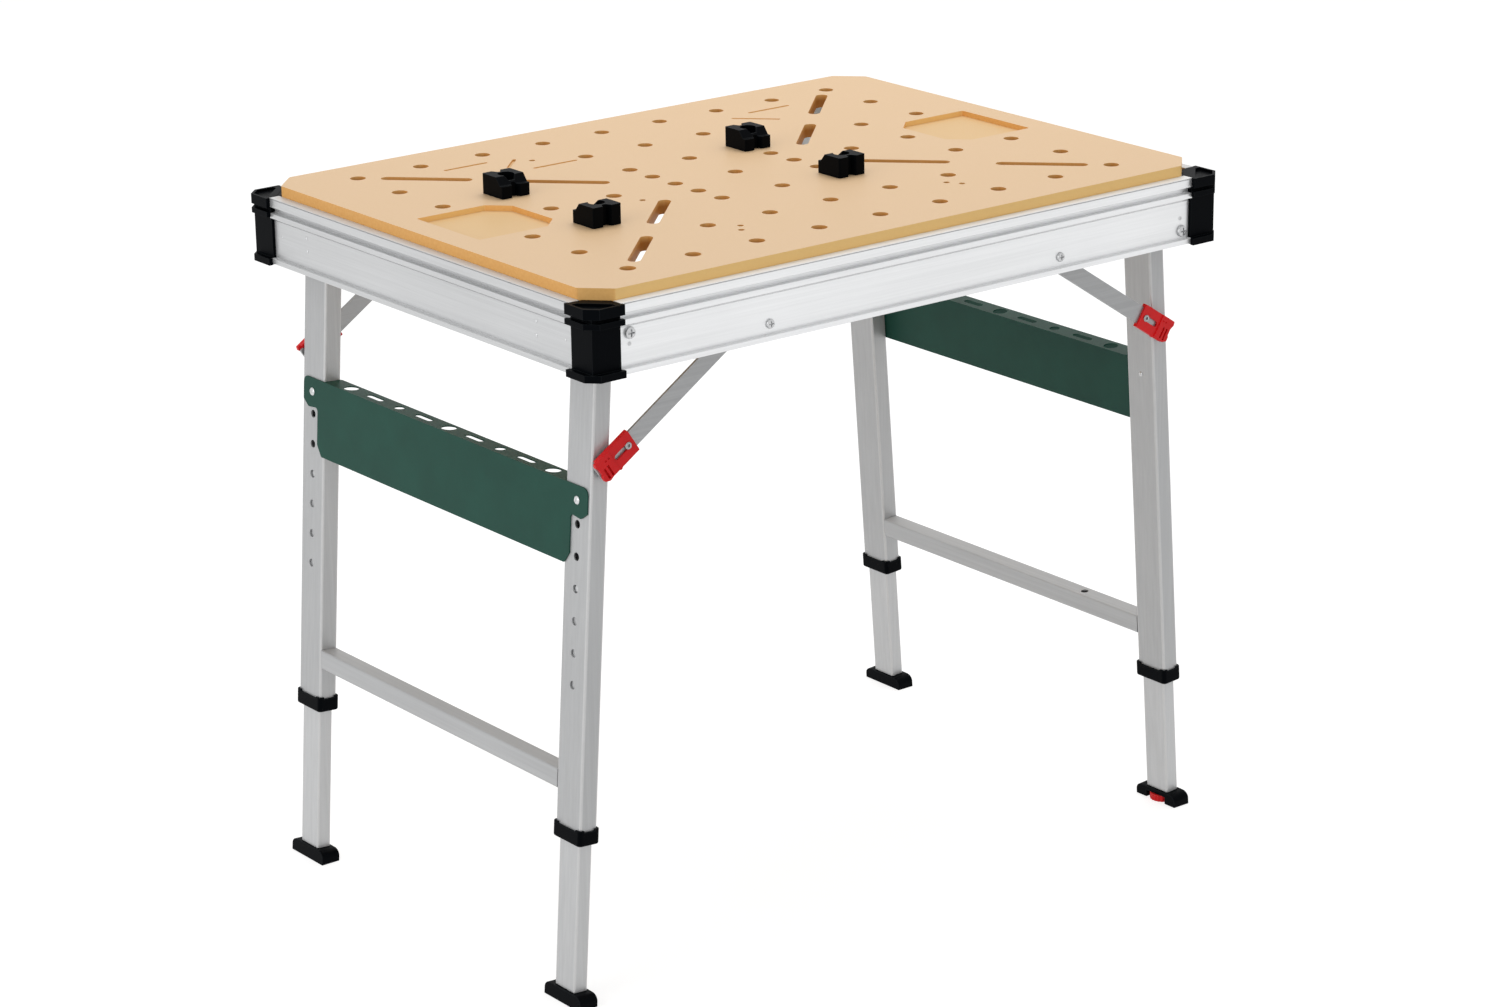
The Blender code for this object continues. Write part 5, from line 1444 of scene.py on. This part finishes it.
# %% Bench dogs
DOG_SIZE = (42 * MM, 44 * MM, 26 * MM)
DOG_GROOVE = (13 * MM, 8 * MM)         # width and depth
DOG_GROOVE_FLOOR = 0.45                # its width as a share of the groove's
DOG_BORE = (10.5 * MM, 8 * MM)         # radius and floor
DOG_PEG = (9.7 * MM, 17.3 * MM)        # radius and length
DOG_NOTCH = in_mm([(-4.5, 20), (4.5, 20), (9.17, 28), (-9.17, 28)])
DOG_SLOPE = in_mm([(16, 16), (8, 26), (8, 40), (40, 40), (40, 16)])
DOG_COLUMNS = {"left": -3, "right": 1}


def make_dog(name, side, sx, sy):
    hx, hy, height = DOG_SIZE[0] / 2, DOG_SIZE[1] / 2, DOG_SIZE[2]
    wide, deep = DOG_GROOVE[0] / 2, DOG_GROOVE[1]
    narrow = wide * DOG_GROOVE_FLOOR
    half = [(hx, -hy), (hx, hy), (wide, hy), (narrow, hy - deep), (-narrow, hy - deep), (-wide, hy)]
    outline = soften(half + [(-a, -b) for a, b in half], ([2 * MM] * 2 + [1 * MM] * 4) * 2, 3)
    dog = show("dog_" + name, prism(outline, 0, height), BLACK_PLASTIC)
    cut(dog, turned([DOG_BORE, (DOG_BORE[0], 40 * MM)], sides=40), prism(DOG_NOTCH, 0, hy + 5 * MM, "Y"),
        prism(DOG_SLOPE, -2 * hx, 2 * hx, "X"))
    join(dog, turned([(DOG_PEG[0], -DOG_PEG[1]), (DOG_PEG[0], 1 * MM)], sides=36))
    round_off(dog, 0.7 * MM, 35)
    spot = shift(DOG_COLUMNS[side] * HOLE_PITCH, sy * HOLE_PITCH, BOARD_TOP + GAP)
    turn = Matrix.Rotation(math.pi if sy > 0 else 0.0, 4, "Z")
    dress(dog, spot @ turn, "bench_dog_" + name, "bench_dog_" + name)


for corner in sorted(CORNERS, key=lambda corner: corner[2]):
    make_dog(*corner)
print("bench dogs:", len(CORNERS))

# %% [markdown]
# ## Studio
# The photograph has a white sweep and plain light from all round, a little stronger from above and from the
# left. A pale floor keeps the bench's shadow. Where the camera, a reflection or glass shows them, the floor
# glows and the backdrop is white. As lights, the floor is plain and the backdrop is grey.

# %% Floor, world and lamps
FLOOR_RADIUS = 9.0
FLOOR_GLOW = 0.78


def seen(tree):
    """A mask of the rays that show a thing: straight, in a reflection or through glass."""
    rays = add(tree, "ShaderNodeLightPath").outputs
    mask = maths(tree, "MAXIMUM", rays["Is Camera Ray"], rays["Is Glossy Ray"])
    return maths(tree, "MAXIMUM", mask, rays["Is Transmission Ray"])


def build_floor():
    material, tree, shader = start_material("studio floor")
    floor = show("floor", prism(arc((0, 0), FLOOR_RADIUS, 0, 355, 71), -0.02, 0.0), material)
    mask = seen(tree)
    tree.links.new(mix(tree, mask, (0.75, 0.75, 0.75), (0.4, 0.4, 0.4)), shader.inputs["Base Color"])
    shader.inputs["Roughness"].default_value = 0.9
    shader.inputs["Specular IOR Level"].default_value = 0.0
    shader.inputs["Emission Color"].default_value = (1.0, 1.0, 1.0, 1.0)
    tree.links.new(product(tree, mask, FLOOR_GLOW), shader.inputs["Emission Strength"])


def build_world():
    world = bpy.data.worlds.new("studio")
    bpy.context.scene.world = world
    world.use_nodes = True
    tree = world.node_tree
    backdrop = mix(tree, seen(tree), (0.62, 0.62, 0.62), (1.0, 1.0, 1.0))
    tree.links.new(backdrop, tree.nodes["Background"].inputs["Color"])


def add_lamp(name, spot, aim, size, power):
    lamp = bpy.data.objects.new(name, bpy.data.lights.new(name, "AREA"))
    bpy.context.scene.collection.objects.link(lamp)
    lamp.data.shape = "RECTANGLE"
    lamp.data.size, lamp.data.size_y = size
    lamp.data.energy = power
    lamp.location = spot
    lamp.rotation_euler = (Vector(aim) - Vector(spot)).to_track_quat("-Z", "Y").to_euler()


build_floor()
build_world()
add_lamp("top softbox", (0.9, 0.7, 3.4), (0.1, 0, 0.7), (2.2, 1.8), 34.0)
add_lamp("left softbox", (-3.2, -0.4, 1.6), (0, 0, 0.6), (1.8, 1.8), 22.0)
bpy.context.scene.view_settings.view_transform = "Standard"
print("studio: a floor, a white backdrop and 2 lamps")
